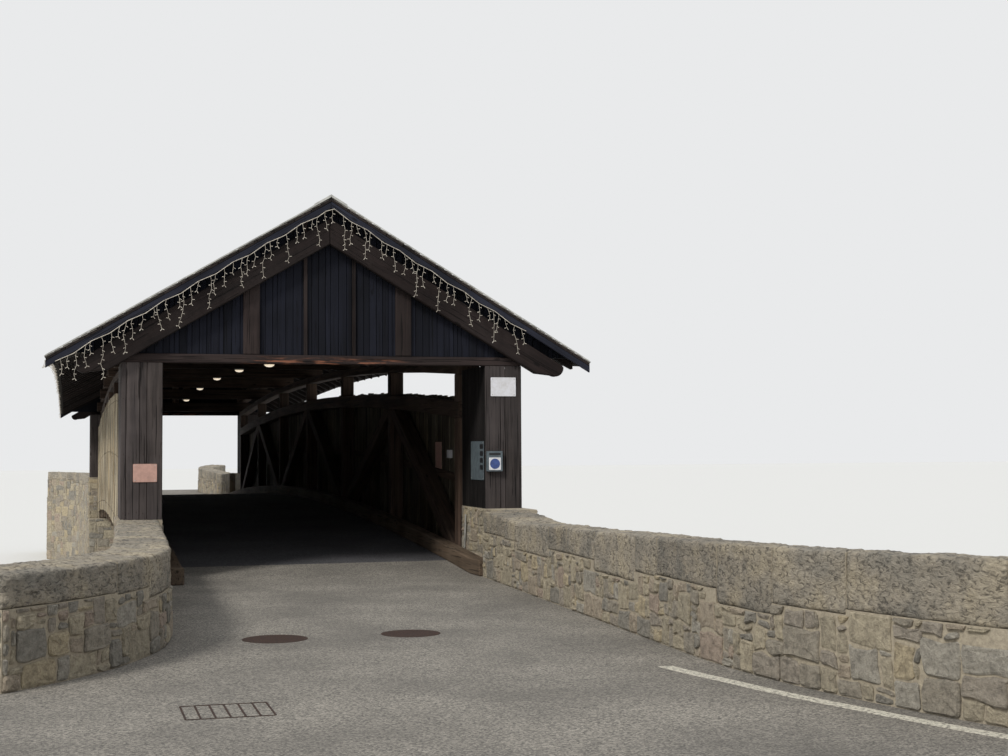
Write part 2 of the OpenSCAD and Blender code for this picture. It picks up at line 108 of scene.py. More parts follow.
# Wing walls: start, heading in degrees, straight run, radius, last heading and thickness,
# with the height over the road of the coping's two edges along the wall.
wings = {
    "right": {"x": 1.0, "y": -0.3, "heading": -2.65, "straight": 3.9, "radius": 4.8, "last": 24.6,
              "thickness": 0.30, "base": 0.444, "topIn": [(0, 0.444), (0.9, 0.405), (99, 0.53)],
              "topOut": [(0, 0.444), (0.5, 0.428), (0.9, 0.4), (1.6, 0.41), (99, 0.514)],
              "blocks": 12},
    "left": {"x": 1.125, "y": 0.0, "heading": 2.1, "straight": 2.87, "radius": 2.19, "last": 46.6,
             "thickness": 0.26, "base": 0.410, "topIn": [(0, 0.410), (99, 0.425)],
             "topOut": [(0, 0.410), (99, 0.440)], "blocks": 8},
}


def wingLength(wing):
    return wing["straight"] + wing["radius"] * math.radians(wing["last"] - wing["heading"])


def wingPoint(wing, s, out):
    h0 = math.radians(wing["heading"])
    h = h0 + max(0, s - wing["straight"]) / wing["radius"]
    run, r = min(s, wing["straight"]), wing["radius"]
    return (wing["x"] + run * math.sin(h0) + r * (math.cos(h0) - math.cos(h)) + out * math.cos(h),
            wing["y"] - run * math.cos(h0) - r * (math.sin(h) - math.sin(h0)) + out * math.sin(h))


def wingTop(wing, key, s):
    return between([(min(place, wingLength(wing)), top) for place, top in wing[key]], s)


# Coping blocks differ in length, and each lies on a bed of its own height. The turns, in
# degrees from block to block, spread both.
copingBlocks = {"joint": 0.004, "shift": 0.22, "shiftTurn": 140, "bedShift": 0.035, "bedTurn": 117,
                "bedStart": 40, "grid": 0.0165, "height": 0.2, "round": 0.016, "footRound": 0.6,
                "rough": 0.009, "waves": ((8, 0.7), (24, 0.6), (60, 0.5)), "endRough": 0.25,
                "endTurn": 0.6, "still": 1e-6, "noiseReach": 50, "pointingSlack": 0.0005,
                "pointingSink": 0.5}


def copingCuts(wing):
    joint = copingBlocks["joint"]
    start = max(0, wing["thickness"] * math.sin(math.radians(wing["heading"]))) + 2 * joint
    step = (wingLength(wing) - start) / wing["blocks"]
    turn = copingBlocks["shiftTurn"]
    cuts = [start + step * (i + copingBlocks["shift"] * math.sin(math.radians(turn * i)))
            for i in range(wing["blocks"])]
    return cuts + [wingLength(wing)]


def bedLevel(block):
    turn = math.radians(copingBlocks["bedTurn"] * block + copingBlocks["bedStart"])
    return bridge["rubbleTop"] + copingBlocks["bedShift"] * math.sin(turn)


cameraSpot = {"place": (-1.684302, -10.056797, 2.123056), "yaw": 0.28278156,
              "pitch": 0.04611319, "roll": -0.00548971, "lens": 53.345341, "sensor": 36,
              "reach": 500}


def addObject(name, data):
    thing = bpy.data.objects.new(name, data)
    bpy.context.scene.collection.objects.link(thing)
    return thing


def makeCamera():
    yaw, pitch, roll = cameraSpot["yaw"], cameraSpot["pitch"], cameraSpot["roll"]
    forward = Vector((math.sin(yaw) * math.cos(pitch), math.cos(yaw) * math.cos(pitch),
                      math.sin(pitch)))
    level = Vector((math.cos(yaw), -math.sin(yaw), 0))
    above = level.cross(forward)
    right = level * math.cos(roll) + above * math.sin(roll)
    up = above * math.cos(roll) - level * math.sin(roll)
    data = bpy.data.cameras.new("camera")
    data.lens, data.sensor_width = cameraSpot["lens"], cameraSpot["sensor"]
    data.clip_end = cameraSpot["reach"]
    camera = addObject("camera", data)
    camera.matrix_world = Matrix((
        (right.x, up.x, -forward.x, cameraSpot["place"][0]),
        (right.y, up.y, -forward.y, cameraSpot["place"][1]),
        (right.z, up.z, -forward.z, cameraSpot["place"][2]), (0, 0, 0, 1)))
    bpy.context.scene.camera = camera


makeCamera()
print("camera placed")


# sRGB hex to linear light.
def toLinear(hexColour):
    parts = [int(hexColour[i:i + 2], 16) / 255 for i in (1, 3, 5)]
    return tuple(c / 12.92 if c <= 0.04045 else ((c + 0.055) / 1.055) ** 2.4 for c in parts) + (1,)


# Adds a node with its settings and links. A link starts at a socket, or at a node's first one.
# A colour Mix node counts its sockets: 0 is the factor, 6 and 7 are the colours.
def addNode(tree, kind, settings=None, values=None, links=None):
    node = tree.nodes.new(kind)
    for name, value in (settings or {}).items():
        setattr(node, name, value)
    for socket, value in (values or {}).items():
        node.inputs[socket].default_value = value
    for socket, source in (links or {}).items():
        for start in source if isinstance(source, list) else [source]:
            outlet = start.outputs[0] if isinstance(start, bpy.types.Node) else start
            tree.links.new(outlet, node.inputs[socket])
    return node


def setRamp(node, stops, interpolation="LINEAR"):
    ramp = node.color_ramp
    ramp.interpolation = interpolation
    while len(ramp.elements) < len(stops):
        ramp.elements.new(0.5)
    for element, (place, colour) in zip(ramp.elements, stops):
        element.position = place
        element.color = toLinear(colour) if isinstance(colour, str) else (colour,) * 3 + (1,)
    return node.outputs["Color"]


def newMaterial(name, roughness, ior=1.5, metallic=0.0):
    material = bpy.data.materials.new(name)
    material.use_nodes = True
    tree = material.node_tree
    shader = tree.nodes["Principled BSDF"]
    shader.inputs["Roughness"].default_value = roughness
    shader.inputs["IOR"].default_value = ior
    shader.inputs["Metallic"].default_value = metallic
    return material, tree, shader


# A plain surface: one noise, given as its node's values, colours it through the stops and
# roughens it by relief (strength, distance). dull spreads its roughness between two values.
def mottledMaterial(name, surface, pattern, stops, relief, dull=None):
    material, tree, shader = newMaterial(name, *surface)
    coordinates = addNode(tree, "ShaderNodeTexCoord")
    mottle = addNode(tree, "ShaderNodeTexNoise", values=pattern,
                     links={"Vector": coordinates.outputs["Object"]})
    ramp = addNode(tree, "ShaderNodeValToRGB", links={"Fac": mottle})
    tree.links.new(setRamp(ramp, stops), shader.inputs["Base Color"])
    if dull:
        spread = addNode(tree, "ShaderNodeMapRange", values={"To Min": dull[0], "To Max": dull[1]},
                         links={"Value": mottle})
        tree.links.new(spread.outputs[0], shader.inputs["Roughness"])
    bump = addNode(tree, "ShaderNodeBump", values={"Strength": relief[0], "Distance": relief[1]},
                   links={"Height": mottle})
    tree.links.new(bump.outputs[0], shader.inputs["Normal"])
    return material


# Starts a Geometry Nodes tree with its named inputs and the values that they begin with.
def startTree(name, inputs):
    tree = bpy.data.node_groups.new(name, "GeometryNodeTree")
    tree.is_modifier = True
    new = tree.interface.new_socket
    new(name="Guide", in_out="INPUT", socket_type="NodeSocketGeometry")
    for title, value in inputs.items():
        kind = "NodeSocketInt" if isinstance(value, int) else "NodeSocketFloat"
        new(name=title, in_out="INPUT", socket_type=kind).default_value = value
    new(name="Finish", in_out="INPUT", socket_type="NodeSocketMaterial")
    new(name="Result", in_out="OUTPUT", socket_type="NodeSocketGeometry")
    return tree, addNode(tree, "NodeGroupInput").outputs


# The turn that a guide mesh holds for each of its points.
def pointTurn(tree, attribute):
    turn = addNode(tree, "GeometryNodeInputNamedAttribute", {"data_type": "FLOAT_VECTOR"},
                   {"Name": attribute})
    return addNode(tree, "FunctionNodeEulerToRotation", links={0: turn})


def endTree(tree, source, result):
    real = addNode(tree, "GeometryNodeRealizeInstances", links={0: result})
    finish = addNode(tree, "GeometryNodeSetMaterial",
                     links={"Geometry": real, "Material": source["Finish"]})
    addNode(tree, "NodeGroupOutput", links={0: finish})
    return tree


# Runs a Geometry Nodes tree on a guide mesh and returns the plain mesh that it makes.
def growMesh(name, guide, tree, inputs):
    carrier = addObject(name, guide)
    modifier = carrier.modifiers.new("rows", "NODES")
    modifier.node_group = tree
    for item in tree.interface.items_tree:
        if item.item_type == "SOCKET" and item.in_out == "INPUT" and item.name in inputs:
            modifier[item.identifier] = inputs[item.name]
    graph = bpy.context.evaluated_depsgraph_get()
    mesh = bpy.data.meshes.new_from_object(carrier.evaluated_get(graph),
                                           preserve_all_data_layers=True, depsgraph=graph)
    carrier.modifiers.remove(modifier)
    bpy.data.objects.remove(carrier)
    mesh.name = name
    return mesh


def placePiece(name, mesh, material, nodes=()):
    piece = addObject(name, mesh)
    if material is not None:
        mesh.materials.clear()
        mesh.materials.append(material)
    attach(piece, "root")
    for node in nodes:
        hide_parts(node)
    return piece


# A mesh with its faces turned outwards.
def newMesh(name, points, faces=(), edges=()):
    mesh = bpy.data.meshes.new(name)
    mesh.from_pydata(points, edges, faces)
    work = bmesh.new()
    work.from_mesh(mesh)
    bmesh.ops.recalc_face_normals(work, faces=work.faces)
    work.to_mesh(mesh)
    work.free()
    return mesh


def circleOutline(radius, sides):
    turns = [2 * math.pi * k / sides for k in range(sides)]
    return [(radius * math.cos(a), radius * math.sin(a)) for a in turns]


# Quads between rings of points that follow one another from the first point on.
def ringFaces(first, rings, sides, closed=False):
    faces = []
    for ring in range(rings if closed else rings - 1):
        low, high = first + ring * sides, first + (ring + 1) % rings * sides
        for k in range(sides):
            j = (k + 1) % sides
            faces.append((low + k, low + j, high + j, high + k))
    return faces


# A box whose eight points change fastest in their last direction.
def boxFaces(first):
    return [tuple(first + i for i in quad) for quad in
            ((0, 1, 3, 2), (4, 6, 7, 5), (0, 4, 5, 1), (2, 3, 7, 6), (1, 5, 7, 3), (0, 2, 6, 4))]


def pointLayer(mesh, name, kind, values):
    layer = mesh.attributes.new(name, kind, "POINT")
    layer.data.foreach_set("vector" if kind == "FLOAT_VECTOR" else "value", values)


# Clear soft PVC over twisted copper, yellowed a little: pale, slightly glossy.
cablePvc = mottledMaterial("clearPvcCable", (0.38, 1.53), {"Scale": 38, "Detail": 3},
                           [(0.32, "#958d82"), (0.62, "#cfc7b8")], (0.3, 0.0006))

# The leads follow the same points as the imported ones.
leads = {"radius": 0.0025, "seat": 0.0003, "edge": 0.002, "from": -1.78, "to": 1.37, "rings": 57,
         "hookGap": 0.225, "hookUp": 0.006, "sag": 0.016, "vergeHeight": 0.046}
layersUnder = (bridge["coverThickness"] + bridge["roofBoard"]) * slopeLength


def gableRoute():
    y = -bridge["vergeOut"] + leads["edge"] - leads["radius"] - leads["seat"]
    drop = layersUnder + leads["vergeHeight"] - leads["hookUp"]
    route = []
    for k in range(leads["rings"]):
        x = leads["from"] + k * (leads["to"] - leads["from"]) / (leads["rings"] - 1)
        turn = 2 * math.pi * (x - leads["from"]) / leads["hookGap"]
        route.append((x, y, road + roofLine(x, drop) - leads["sag"] * (1 - math.cos(turn)) / 2))
    return route


def eaveRoute():
    x = bridge["eaveX"] + leads["radius"] + leads["seat"]
    z = road + roofLine(bridge["eaveX"], layersUnder - leads["radius"])
    return [(-x, y, z + rise(y)) for y in roofStops]


# Each drop is a thin wire with small bulbs that stand off to either side, and one at its tip.
drops = {"gap": 0.0525, "lengths": (0.105, 0.065, 0.175, 0.125, 0.085, 0.235, 0.13, 0.06, 0.195, 0.11),
         "lengthSpread": (0.85, 1.15), "placeSpread": 0.7, "twigGap": 0.03, "sway": 0.011,
         "swayDepth": 0.4, "bulbAside": (-0.6, 0.6), "bulbUp": (-0.7, 0.1), "tipAcross": -0.6,
         "tipAside": (-0.3, 0.3), "tipUp": -0.9, "eaveGap": 0.14, "eaveLength": 0.03}
dropSizes = {"Wire width": 0.0026, "Bulb length": 0.017, "Bulb width": 0.0052}


def makeDropTree():
    tree, source = startTree("lightDrops", dropSizes)
    wires = addNode(tree, "GeometryNodeMeshToCurve", links={"Mesh": source["Guide"]})
    half = addNode(tree, "ShaderNodeMath", {"operation": "MULTIPLY"}, {1: 0.5},
                   {0: source["Wire width"]})
    ring = addNode(tree, "GeometryNodeCurvePrimitiveCircle", values={"Resolution": 4},
                   links={"Radius": half})
    tubes = addNode(tree, "GeometryNodeCurveToMesh", values={"Fill Caps": True},
                    links={"Curve": wires, "Profile Curve": ring})
    wide = addNode(tree, "ShaderNodeMath", {"operation": "MULTIPLY"}, {1: 0.5},
                   {0: source["Bulb width"]})
    bulb = addNode(tree, "GeometryNodeMeshCone", values={"Vertices": 5},
                   links={"Radius Top": wide, "Radius Bottom": half,
                          "Depth": source["Bulb length"]})
    chosen = addNode(tree, "GeometryNodeInputNamedAttribute", {"data_type": "BOOLEAN"},
                     {"Name": "isBulb"})
    bulbs = addNode(tree, "GeometryNodeInstanceOnPoints",
                    links={"Points": source["Guide"], "Selection": chosen,
                           "Instance": bulb, "Rotation": pointTurn(tree, "bulbTurn")})
    both = addNode(tree, "GeometryNodeJoinGeometry", links={0: [tubes, bulbs]})
    return endTree(tree, source, both)


dropTree = makeDropTree()


def addDrop(points, edges, bulbs, top, length, rng):
    steps = max(1, round(length / drops["twigGap"]))
    spot = Vector(top)
    points.append(tuple(spot))
    sway = drops["sway"]
    for k in range(steps):
        spot = spot + Vector((rng.uniform(-sway, sway), rng.uniform(-sway, sway) * drops["swayDepth"],
                              -length / steps))
        edges.append((len(points) - 1, len(points)))
        points.append(tuple(spot))
        way = -1 if k % 2 else 1
        bulbs.append((tuple(spot), Vector((way, rng.uniform(*drops["bulbAside"]),
                                           rng.uniform(*drops["bulbUp"])))))
    bulbs.append((tuple(spot), Vector((drops["tipAcross"] * way, rng.uniform(*drops["tipAside"]),
                                       drops["tipUp"]))))


def dropPiece(name, tops, lengths, seed):
    rng = random.Random(seed)
    points, edges, bulbs = [], [], []
    for top, length in zip(tops, lengths):
        addDrop(points, edges, bulbs, top, length * rng.uniform(*drops["lengthSpread"]), rng)
    guide = newMesh(name + "Guide", points + [b[0] for b in bulbs], edges=edges)
    pointLayer(guide, "isBulb", "BOOLEAN", [False] * len(points) + [True] * len(bulbs))
    turns = [a for b in bulbs for a in b[1].to_track_quat("Z", "Y").to_euler()]
    pointLayer(guide, "bulbTurn", "FLOAT_VECTOR", [0.0] * 3 * len(points) + turns)
    mesh = growMesh(name, guide, dropTree, dropSizes | {"Finish": cablePvc})
    return placePiece(name, mesh, None)


def leadPiece(name, route, hung=()):
    curve = bpy.data.curves.new(name, "CURVE")
    curve.dimensions = "3D"
    curve.bevel_depth, curve.bevel_resolution, curve.use_fill_caps = leads["radius"], 2, True
    spline = curve.splines.new("POLY")
    spline.points.add(len(route) - 1)
    for point, place in zip(spline.points, route):
        point.co = (*place, 1)
    piece = placePiece(name, curve, cablePvc, ["light_string"])


def makeLights(seed):
    route = gableRoute()
    rng = random.Random(seed)
    xs = [x + rng.uniform(0, drops["placeSpread"]) * drops["gap"]
          for x in np.arange(route[0][0], route[-1][0] - drops["gap"], drops["gap"])]
    tops = [(x, route[0][1], between([(p[0], p[2]) for p in route], x)) for x in xs]
    lengths = [drops["lengths"][i % len(drops["lengths"])] for i in range(len(tops))]
    dropPiece("gableDrops", tops, lengths, seed + 1)
    leadPiece("gableLead", route)
    route = eaveRoute()
    ys = np.arange(route[0][1] + drops["gap"], route[-1][1], drops["eaveGap"])
    tops = [(route[0][0], y, between([(p[1], p[2]) for p in route], y)) for y in ys]
    lengths = [drops["eaveLength"]] * len(tops)
    leadPiece("eaveLead", route, [dropPiece("eaveDrops", tops, lengths, seed + 2)])


makeLights(20)
print("lights hung")


# Each layer of the wood is a noise that is long along the grain: its scales, detail, roughness
# and distortion. Growth rings are 2 to 4 mm apart, drawn at 5 mm to show.
larchLayers = {"streaks": ((1.3, 26, 26), 5, 0.62, 0.7), "rings": ((2.6, 200, 200), 3, 0.55, 0.3),
               "splits": ((2.4, 105, 105), 2, 0.5, 0.4)}


# Larch, sawn and left bare: silvered in patches, dull all over, with raised grain, fine drying
# cracks and a few knots. Faces marked as out of the light are darkened by painted shade.
def larchMaterial(name, dark, light, silver, silverShare, cracks, bumpDepth, shade=1.0):
    material, tree, shader = newMaterial(name, 0.82)
    # Weathered fibres stand up from the face, so bare old wood has hardly any sheen.
    shader.inputs["Specular IOR Level"].default_value = 0.18
    grain, tone, paintedShade = [addNode(tree, "ShaderNodeAttribute", {"attribute_name": attribute})
                            for attribute in ("grainPos", "boardTone", "paintedShade")]
    layers = {}
    for layer, (scale, detail, rough, bend) in larchLayers.items():
        space = addNode(tree, "ShaderNodeMapping", values={"Scale": scale},
                        links={"Vector": grain.outputs["Vector"]})
        pattern = addNode(tree, "ShaderNodeTexNoise", values={
            "Scale": 1.0, "Detail": detail, "Roughness": rough, "Distortion": bend},
            links={"Vector": space})
        layers[layer] = pattern.outputs["Fac"]
    streakRamp = addNode(tree, "ShaderNodeValToRGB", links={"Fac": layers["streaks"]})
    wood = setRamp(streakRamp, [(0.3, dark), (0.72, light)])
    ringMix = addNode(tree, "ShaderNodeMix", {"data_type": "RGBA", "blend_type": "OVERLAY"},
                      {0: 0.5}, {6: wood, 7: layers["rings"]})
    # Silver comes in patches of half a metre.
    coordinates = addNode(tree, "ShaderNodeTexCoord")
    weather = addNode(tree, "ShaderNodeTexNoise", values={"Scale": 2.3, "Detail": 4},
                      links={"Vector": coordinates.outputs["Object"]})
    weatherRamp = addNode(tree, "ShaderNodeValToRGB", links={"Fac": weather})
    silvered = setRamp(weatherRamp, [(0.35, 0.0), (0.68, silverShare)])
    silverMix = addNode(tree, "ShaderNodeMix", {"data_type": "RGBA"}, {7: toLinear(silver)},
                        {0: silvered, 6: ringMix.outputs[2]})
    toneLevel = addNode(tree, "ShaderNodeMapRange", values={"To Min": 0.62, "To Max": 1.35},
                        links={"Value": tone.outputs["Fac"]})
    toned = addNode(tree, "ShaderNodeVectorMath", {"operation": "SCALE"},
                    links={0: silverMix.outputs[2], "Scale": toneLevel})
    # Cracks are the low parts of the splits, and knots the cores of wide cells.
    crackRamp = addNode(tree, "ShaderNodeValToRGB", links={"Fac": layers["splits"]})
    crack = setRamp(crackRamp, [(0.0, 0.0), (cracks, 0.0), (cracks + 0.035, 1.0), (1.0, 1.0)])
    knotSpace = addNode(tree, "ShaderNodeMapping", values={"Scale": (3.2, 9, 9)},
                        links={"Vector": grain.outputs["Vector"]})
    knots = addNode(tree, "ShaderNodeTexVoronoi", values={"Scale": 1.0},
                    links={"Vector": knotSpace})
    knotRamp = addNode(tree, "ShaderNodeValToRGB", links={"Fac": knots.outputs["Distance"]})
    knot = setRamp(knotRamp, [(0.0, 0.0), (0.07, 0.15), (0.11, 1.0), (1.0, 1.0)])
    marks = addNode(tree, "ShaderNodeMath", {"operation": "MULTIPLY"},
                    links={0: crack, 1: knot})
    markDepth = addNode(tree, "ShaderNodeMapRange", values={"To Min": 0.3}, links={"Value": marks})
    # Painted shade: faces marked as out of the light are darkened down to the shade level.
    daylight = addNode(tree, "ShaderNodeMapRange", values={"To Min": 1.0, "To Max": shade},
                       links={"Value": paintedShade.outputs["Fac"]})
    level = addNode(tree, "ShaderNodeMath", {"operation": "MULTIPLY"},
                    links={0: markDepth, 1: daylight})
    marked = addNode(tree, "ShaderNodeVectorMath", {"operation": "SCALE"},
                     links={0: toned, "Scale": level})
    tree.links.new(marked.outputs[0], shader.inputs["Base Color"])
    relief = addNode(tree, "ShaderNodeMath", {"operation": "MULTIPLY_ADD"}, {1: 0.5},
                     {0: layers["rings"], 2: marks})
    bump = addNode(tree, "ShaderNodeBump", values={"Strength": 0.9, "Distance": bumpDepth},
                   links={"Height": relief})
    tree.links.new(bump.outputs[0], shader.inputs["Normal"])
    return material


# Name, dark and light of the grain, silver and its share, width of cracks, depth of relief,
# and how much light the painted shade leaves on faces out of the light.
# The casing boards are greyed larch, made darker still by painted shade.
boardLarch = larchMaterial("greyedLarchCasingPaintedShade", "#1e1b1b", "#4b4441", "#5b5453", 0.6, 0.36, 0.0016, 0.16)
sideLarch = larchMaterial("silveredLarchBoarding", "#33291d", "#b09d7c", "#c6bda8", 0.6, 0.42, 0.0022, 0.3)
# The gable boards are dark larch; their near-black, bluish tone is partly painted shade.
gableLarch = larchMaterial("darkLarchGablePaintedShade", "#08090e", "#171923", "#20222d", 0.5, 0.32, 0.0014)
# The rakes and cover strips are brown larch, darkened partly by painted shade.
rakeLarch = larchMaterial("brownLarchRakes", "#141010", "#302624", "#3b3331", 0.5, 0.34, 0.0022)
# The truss and roof timbers are brown larch, darkened partly by painted shade of the bridge's inside.
beamLarch = larchMaterial("hewnLarchTimber", "#221a17", "#57463b", "#5f5349", 0.35, 0.34, 0.0022)
roofLarch = larchMaterial("shadedRoofLarch", "#100d0e", "#2b2422", "#332d2a", 0.4, 0.32, 0.0014)
deckLarch = larchMaterial("sawnDeckLarch", "#2c241d", "#5d4e40", "#6a5e51", 0.5, 0.34, 0.0018)
# The gable frames and tie are brown larch, darkened partly by painted shade.
scrapedLarch = larchMaterial("scrapedLarchFrames", "#141010", "#302624", "#3b3331", 0.5, 0.34, 0.0022)
# The verge boards are slate-grey larch, made darker and bluer partly by painted shade.
vergeLarch = larchMaterial("slateGreyLarchVerge", "#12131a", "#262832", "#353744", 0.6, 0.32, 0.0012)
shingleLarch = larchMaterial("splitLarchShingles", "#35322f", "#6d675f", "#8a857d", 0.8, 0.32, 0.0014)
print("wood materials made")


# Porphyry and granite rubble, broken and not dressed: each stone has its own colour,
# a coarse dull face and a little lichen.
def rubbleMaterial():
    material, tree, shader = newMaterial("porphyryRubble", 0.9, 1.54)
    coordinates = addNode(tree, "ShaderNodeTexCoord")
    place = coordinates.outputs["Object"]
    tone = addNode(tree, "ShaderNodeAttribute", {"attribute_name": "stoneTone"})
    kinds = addNode(tree, "ShaderNodeValToRGB", links={"Fac": tone.outputs["Fac"]})
    kind = setRamp(kinds, [(0.0, "#989081"), (0.15, "#a59b86"), (0.3, "#b0a58e"), (0.43, "#9a9183"),
                           (0.55, "#a79a87"), (0.66, "#8d887d"), (0.77, "#b2a488"),
                           (0.84, "#a39d90"), (0.93, "#a49484")], "CONSTANT")
    # Pits and knobs of 10 to 30 mm, with 5 to 10 mm grit between them.
    mottle = addNode(tree, "ShaderNodeTexNoise",
                     values={"Scale": 30, "Detail": 7, "Roughness": 0.7}, links={"Vector": place})
    mottleRamp = addNode(tree, "ShaderNodeValToRGB", links={"Fac": mottle})
    shade = setRamp(mottleRamp, [(0.34, 0.42), (0.56, 1.0)])
    mixed = addNode(tree, "ShaderNodeMix", {"data_type": "RGBA", "blend_type": "MULTIPLY"},
                    {0: 0.75}, {6: kind, 7: shade})
    grit = addNode(tree, "ShaderNodeTexNoise",
                   values={"Scale": 95, "Detail": 4, "Roughness": 0.75}, links={"Vector": place})
    gritMix = addNode(tree, "ShaderNodeMix", {"data_type": "RGBA", "blend_type": "OVERLAY"},
                      {0: 0.4}, {6: mixed.outputs[2], 7: grit.outputs["Fac"]})
    tree.links.new(gritMix.outputs[2], shader.inputs["Base Color"])
    coarse = addNode(tree, "ShaderNodeBump", values={"Strength": 1.0, "Distance": 0.02},
                     links={"Height": mottle})
    gritBump = addNode(tree, "ShaderNodeBump", values={"Strength": 0.9, "Distance": 0.007},
                       links={"Height": grit, "Normal": coarse})
    tree.links.new(gritBump.outputs[0], shader.inputs["Normal"])
    return material


# Coarse granite, split and rough-pointed: grey with warm patches, full of 15 to 25 mm pits
# that the pointing tool left longer along the wall than they are high.
def graniteMaterial():
    material, tree, shader = newMaterial("pointedGraniteCoping", 0.9, 1.54)
    coordinates = addNode(tree, "ShaderNodeTexCoord")
    place = coordinates.outputs["Object"]
    patch = addNode(tree, "ShaderNodeTexNoise",
                    values={"Scale": 5, "Detail": 5, "Roughness": 0.6}, links={"Vector": place})
    patchRamp = addNode(tree, "ShaderNodeValToRGB", links={"Fac": patch})
    base = setRamp(patchRamp, [(0.34, "#8b867b"), (0.5, "#a49b8b"), (0.64, "#b5a992")])
    tone = addNode(tree, "ShaderNodeAttribute", {"attribute_name": "stoneTone"})
    toneLevel = addNode(tree, "ShaderNodeMapRange", values={"To Min": 0.86, "To Max": 1.1},
                        links={"Value": tone.outputs["Fac"]})
    toned = addNode(tree, "ShaderNodeVectorMath", {"operation": "SCALE"},
                    links={0: base, "Scale": toneLevel})
    stretched = addNode(tree, "ShaderNodeMapping", values={"Scale": (38, 38, 66)},
                        links={"Vector": place})
    pitNoise = addNode(tree, "ShaderNodeTexNoise",
                       values={"Scale": 1.0, "Detail": 5, "Roughness": 0.66, "Distortion": 0.9},
                       links={"Vector": stretched})
    pitRamp = addNode(tree, "ShaderNodeValToRGB", links={"Fac": pitNoise})
    pitShade = setRamp(pitRamp, [(0.38, 0.22), (0.48, 0.85), (0.6, 1.0)])
    mixed = addNode(tree, "ShaderNodeMix", {"data_type": "RGBA", "blend_type": "MULTIPLY"},
                    {0: 0.85}, {6: toned, 7: pitShade})
    tree.links.new(mixed.outputs[2], shader.inputs["Base Color"])
    bump = addNode(tree, "ShaderNodeBump", values={"Strength": 1.0, "Distance": 0.024},
                   links={"Height": pitNoise})
    tree.links.new(bump.outputs[0], shader.inputs["Normal"])
    return material


# Asphalt, rolled and worn: 5 to 8 mm chippings show pale in a dark binder.
def asphaltMaterial(name, binder, chipping):
    material, tree, shader = newMaterial(name, 0.86)
    coordinates = addNode(tree, "ShaderNodeTexCoord")
    place = coordinates.outputs["Object"]
    chips = addNode(tree, "ShaderNodeTexVoronoi", values={"Scale": 170}, links={"Vector": place})
    chipTone = addNode(tree, "ShaderNodeSeparateColor", links={"Color": chips.outputs["Color"]})
    patch = addNode(tree, "ShaderNodeTexNoise",
                    values={"Scale": 1.7, "Detail": 5, "Roughness": 0.6}, links={"Vector": place})
    amount = addNode(tree, "ShaderNodeMath", {"operation": "MULTIPLY"},
                     links={0: chipTone, 1: patch})
    chipRamp = addNode(tree, "ShaderNodeValToRGB", links={"Fac": amount})
    tree.links.new(setRamp(chipRamp, [(0.05, binder), (0.6, chipping)]),
                   shader.inputs["Base Color"])
    bump = addNode(tree, "ShaderNodeBump", values={"Strength": 0.7, "Distance": 0.003},
                   links={"Height": chips.outputs["Distance"]})
    tree.links.new(bump.outputs[0], shader.inputs["Normal"])
    return material


# Baked enamel on sheet steel: smooth, half gloss, with dirt washed over it.
def enamelMaterial(name, clean, dirty, roughness=0.42):
    return mottledMaterial(name, (roughness,), {"Scale": 24, "Detail": 5, "Roughness": 0.7},
                           [(0.3, dirty), (0.62, clean)], (0.15, 0.001))


# Opal glass with a warm lamp behind it: milky, smooth, glowing more in the middle underneath.
def opalMaterial():
    material, tree, shader = newMaterial("opalGlassShade", 0.25)
    coordinates = addNode(tree, "ShaderNodeTexCoord")
    way = addNode(tree, "ShaderNodeSeparateXYZ", links={0: coordinates.outputs["Normal"]})
    outwardTurn = addNode(tree, "ShaderNodeMapRange", values={"From Min": -1.0, "From Max": 0.0},
                          links={"Value": way.outputs["Z"]})
    ramp = addNode(tree, "ShaderNodeValToRGB", links={"Fac": outwardTurn})
    glow = setRamp(ramp, [(0.0, "#fff2dc"), (1.0, "#e9cfa6")])
    tree.links.new(glow, shader.inputs["Emission Color"])
    shader.inputs["Base Color"].default_value = toLinear("#efe8da")
    shader.inputs["Emission Strength"].default_value = 0.9
    return material


rubbleStone = rubbleMaterial()
graniteBlock = graniteMaterial()
# Lime mortar, thrown in and struck rough: pale, sandy and matt.
limeMortar = mottledMaterial("limeMortar", (0.93,), {"Scale": 60, "Detail": 6, "Roughness": 0.7},
                             [(0.3, "#8a8171"), (0.68, "#b0a590")], (1.0, 0.006))
# Rolled zinc, weathered: even grey with a pale bloom and faint runs, half dull.
zincSheet = mottledMaterial("weatheredZincSheet", (0.48, 1.5, 0.75),
                            {"Scale": 9, "Detail": 5, "Roughness": 0.65},
                            [(0.3, "#9a9995"), (0.7, "#d2d1cb")], (0.2, 0.002), (0.35, 0.65))
# Forged iron, left to rust: dark brown, rough.
rustedIron = mottledMaterial("rustedIron", (0.72, 1.5, 0.35), {"Scale": 160, "Detail": 4},
                             [(0.35, "#1b1513"), (0.65, "#4a3226")], (0.5, 0.001))
# Road paint, worn through to the chippings: chalky white, matt.
roadPaint = mottledMaterial("wornRoadPaint", (0.7,), {"Scale": 60, "Detail": 6, "Roughness": 0.75},
                            [(0.42, "#77736b"), (0.5, "#c9c4b4"), (0.7, "#dbd7ca")], (0.5, 0.002))
opalGlass = opalMaterial()
whiteEnamel = enamelMaterial("whiteEnamel", "#dcdce1", "#c6c4c3")
pinkEnamel = enamelMaterial("fadedSalmonEnamel", "#c0988a", "#a68478", 0.55)
blueEnamel = enamelMaterial("blueEnamel", "#3a4f8c", "#2b3a68")
greyEnamel = enamelMaterial("greyGreenEnamel", "#5b666b", "#434c52", 0.6)
blackEnamel = enamelMaterial("blackEnamel", "#18191d", "#0f1013", 0.6)
approachAsphalt = asphaltMaterial("wornAsphalt", "#55524d", "#a39d92")
# The deck's asphalt is darker than the approach's: painted shade of the covered roadway.
deckAsphalt = asphaltMaterial("deckAsphaltPaintedShade", "#2e2e31", "#68676a")
print("stone and metal materials made")


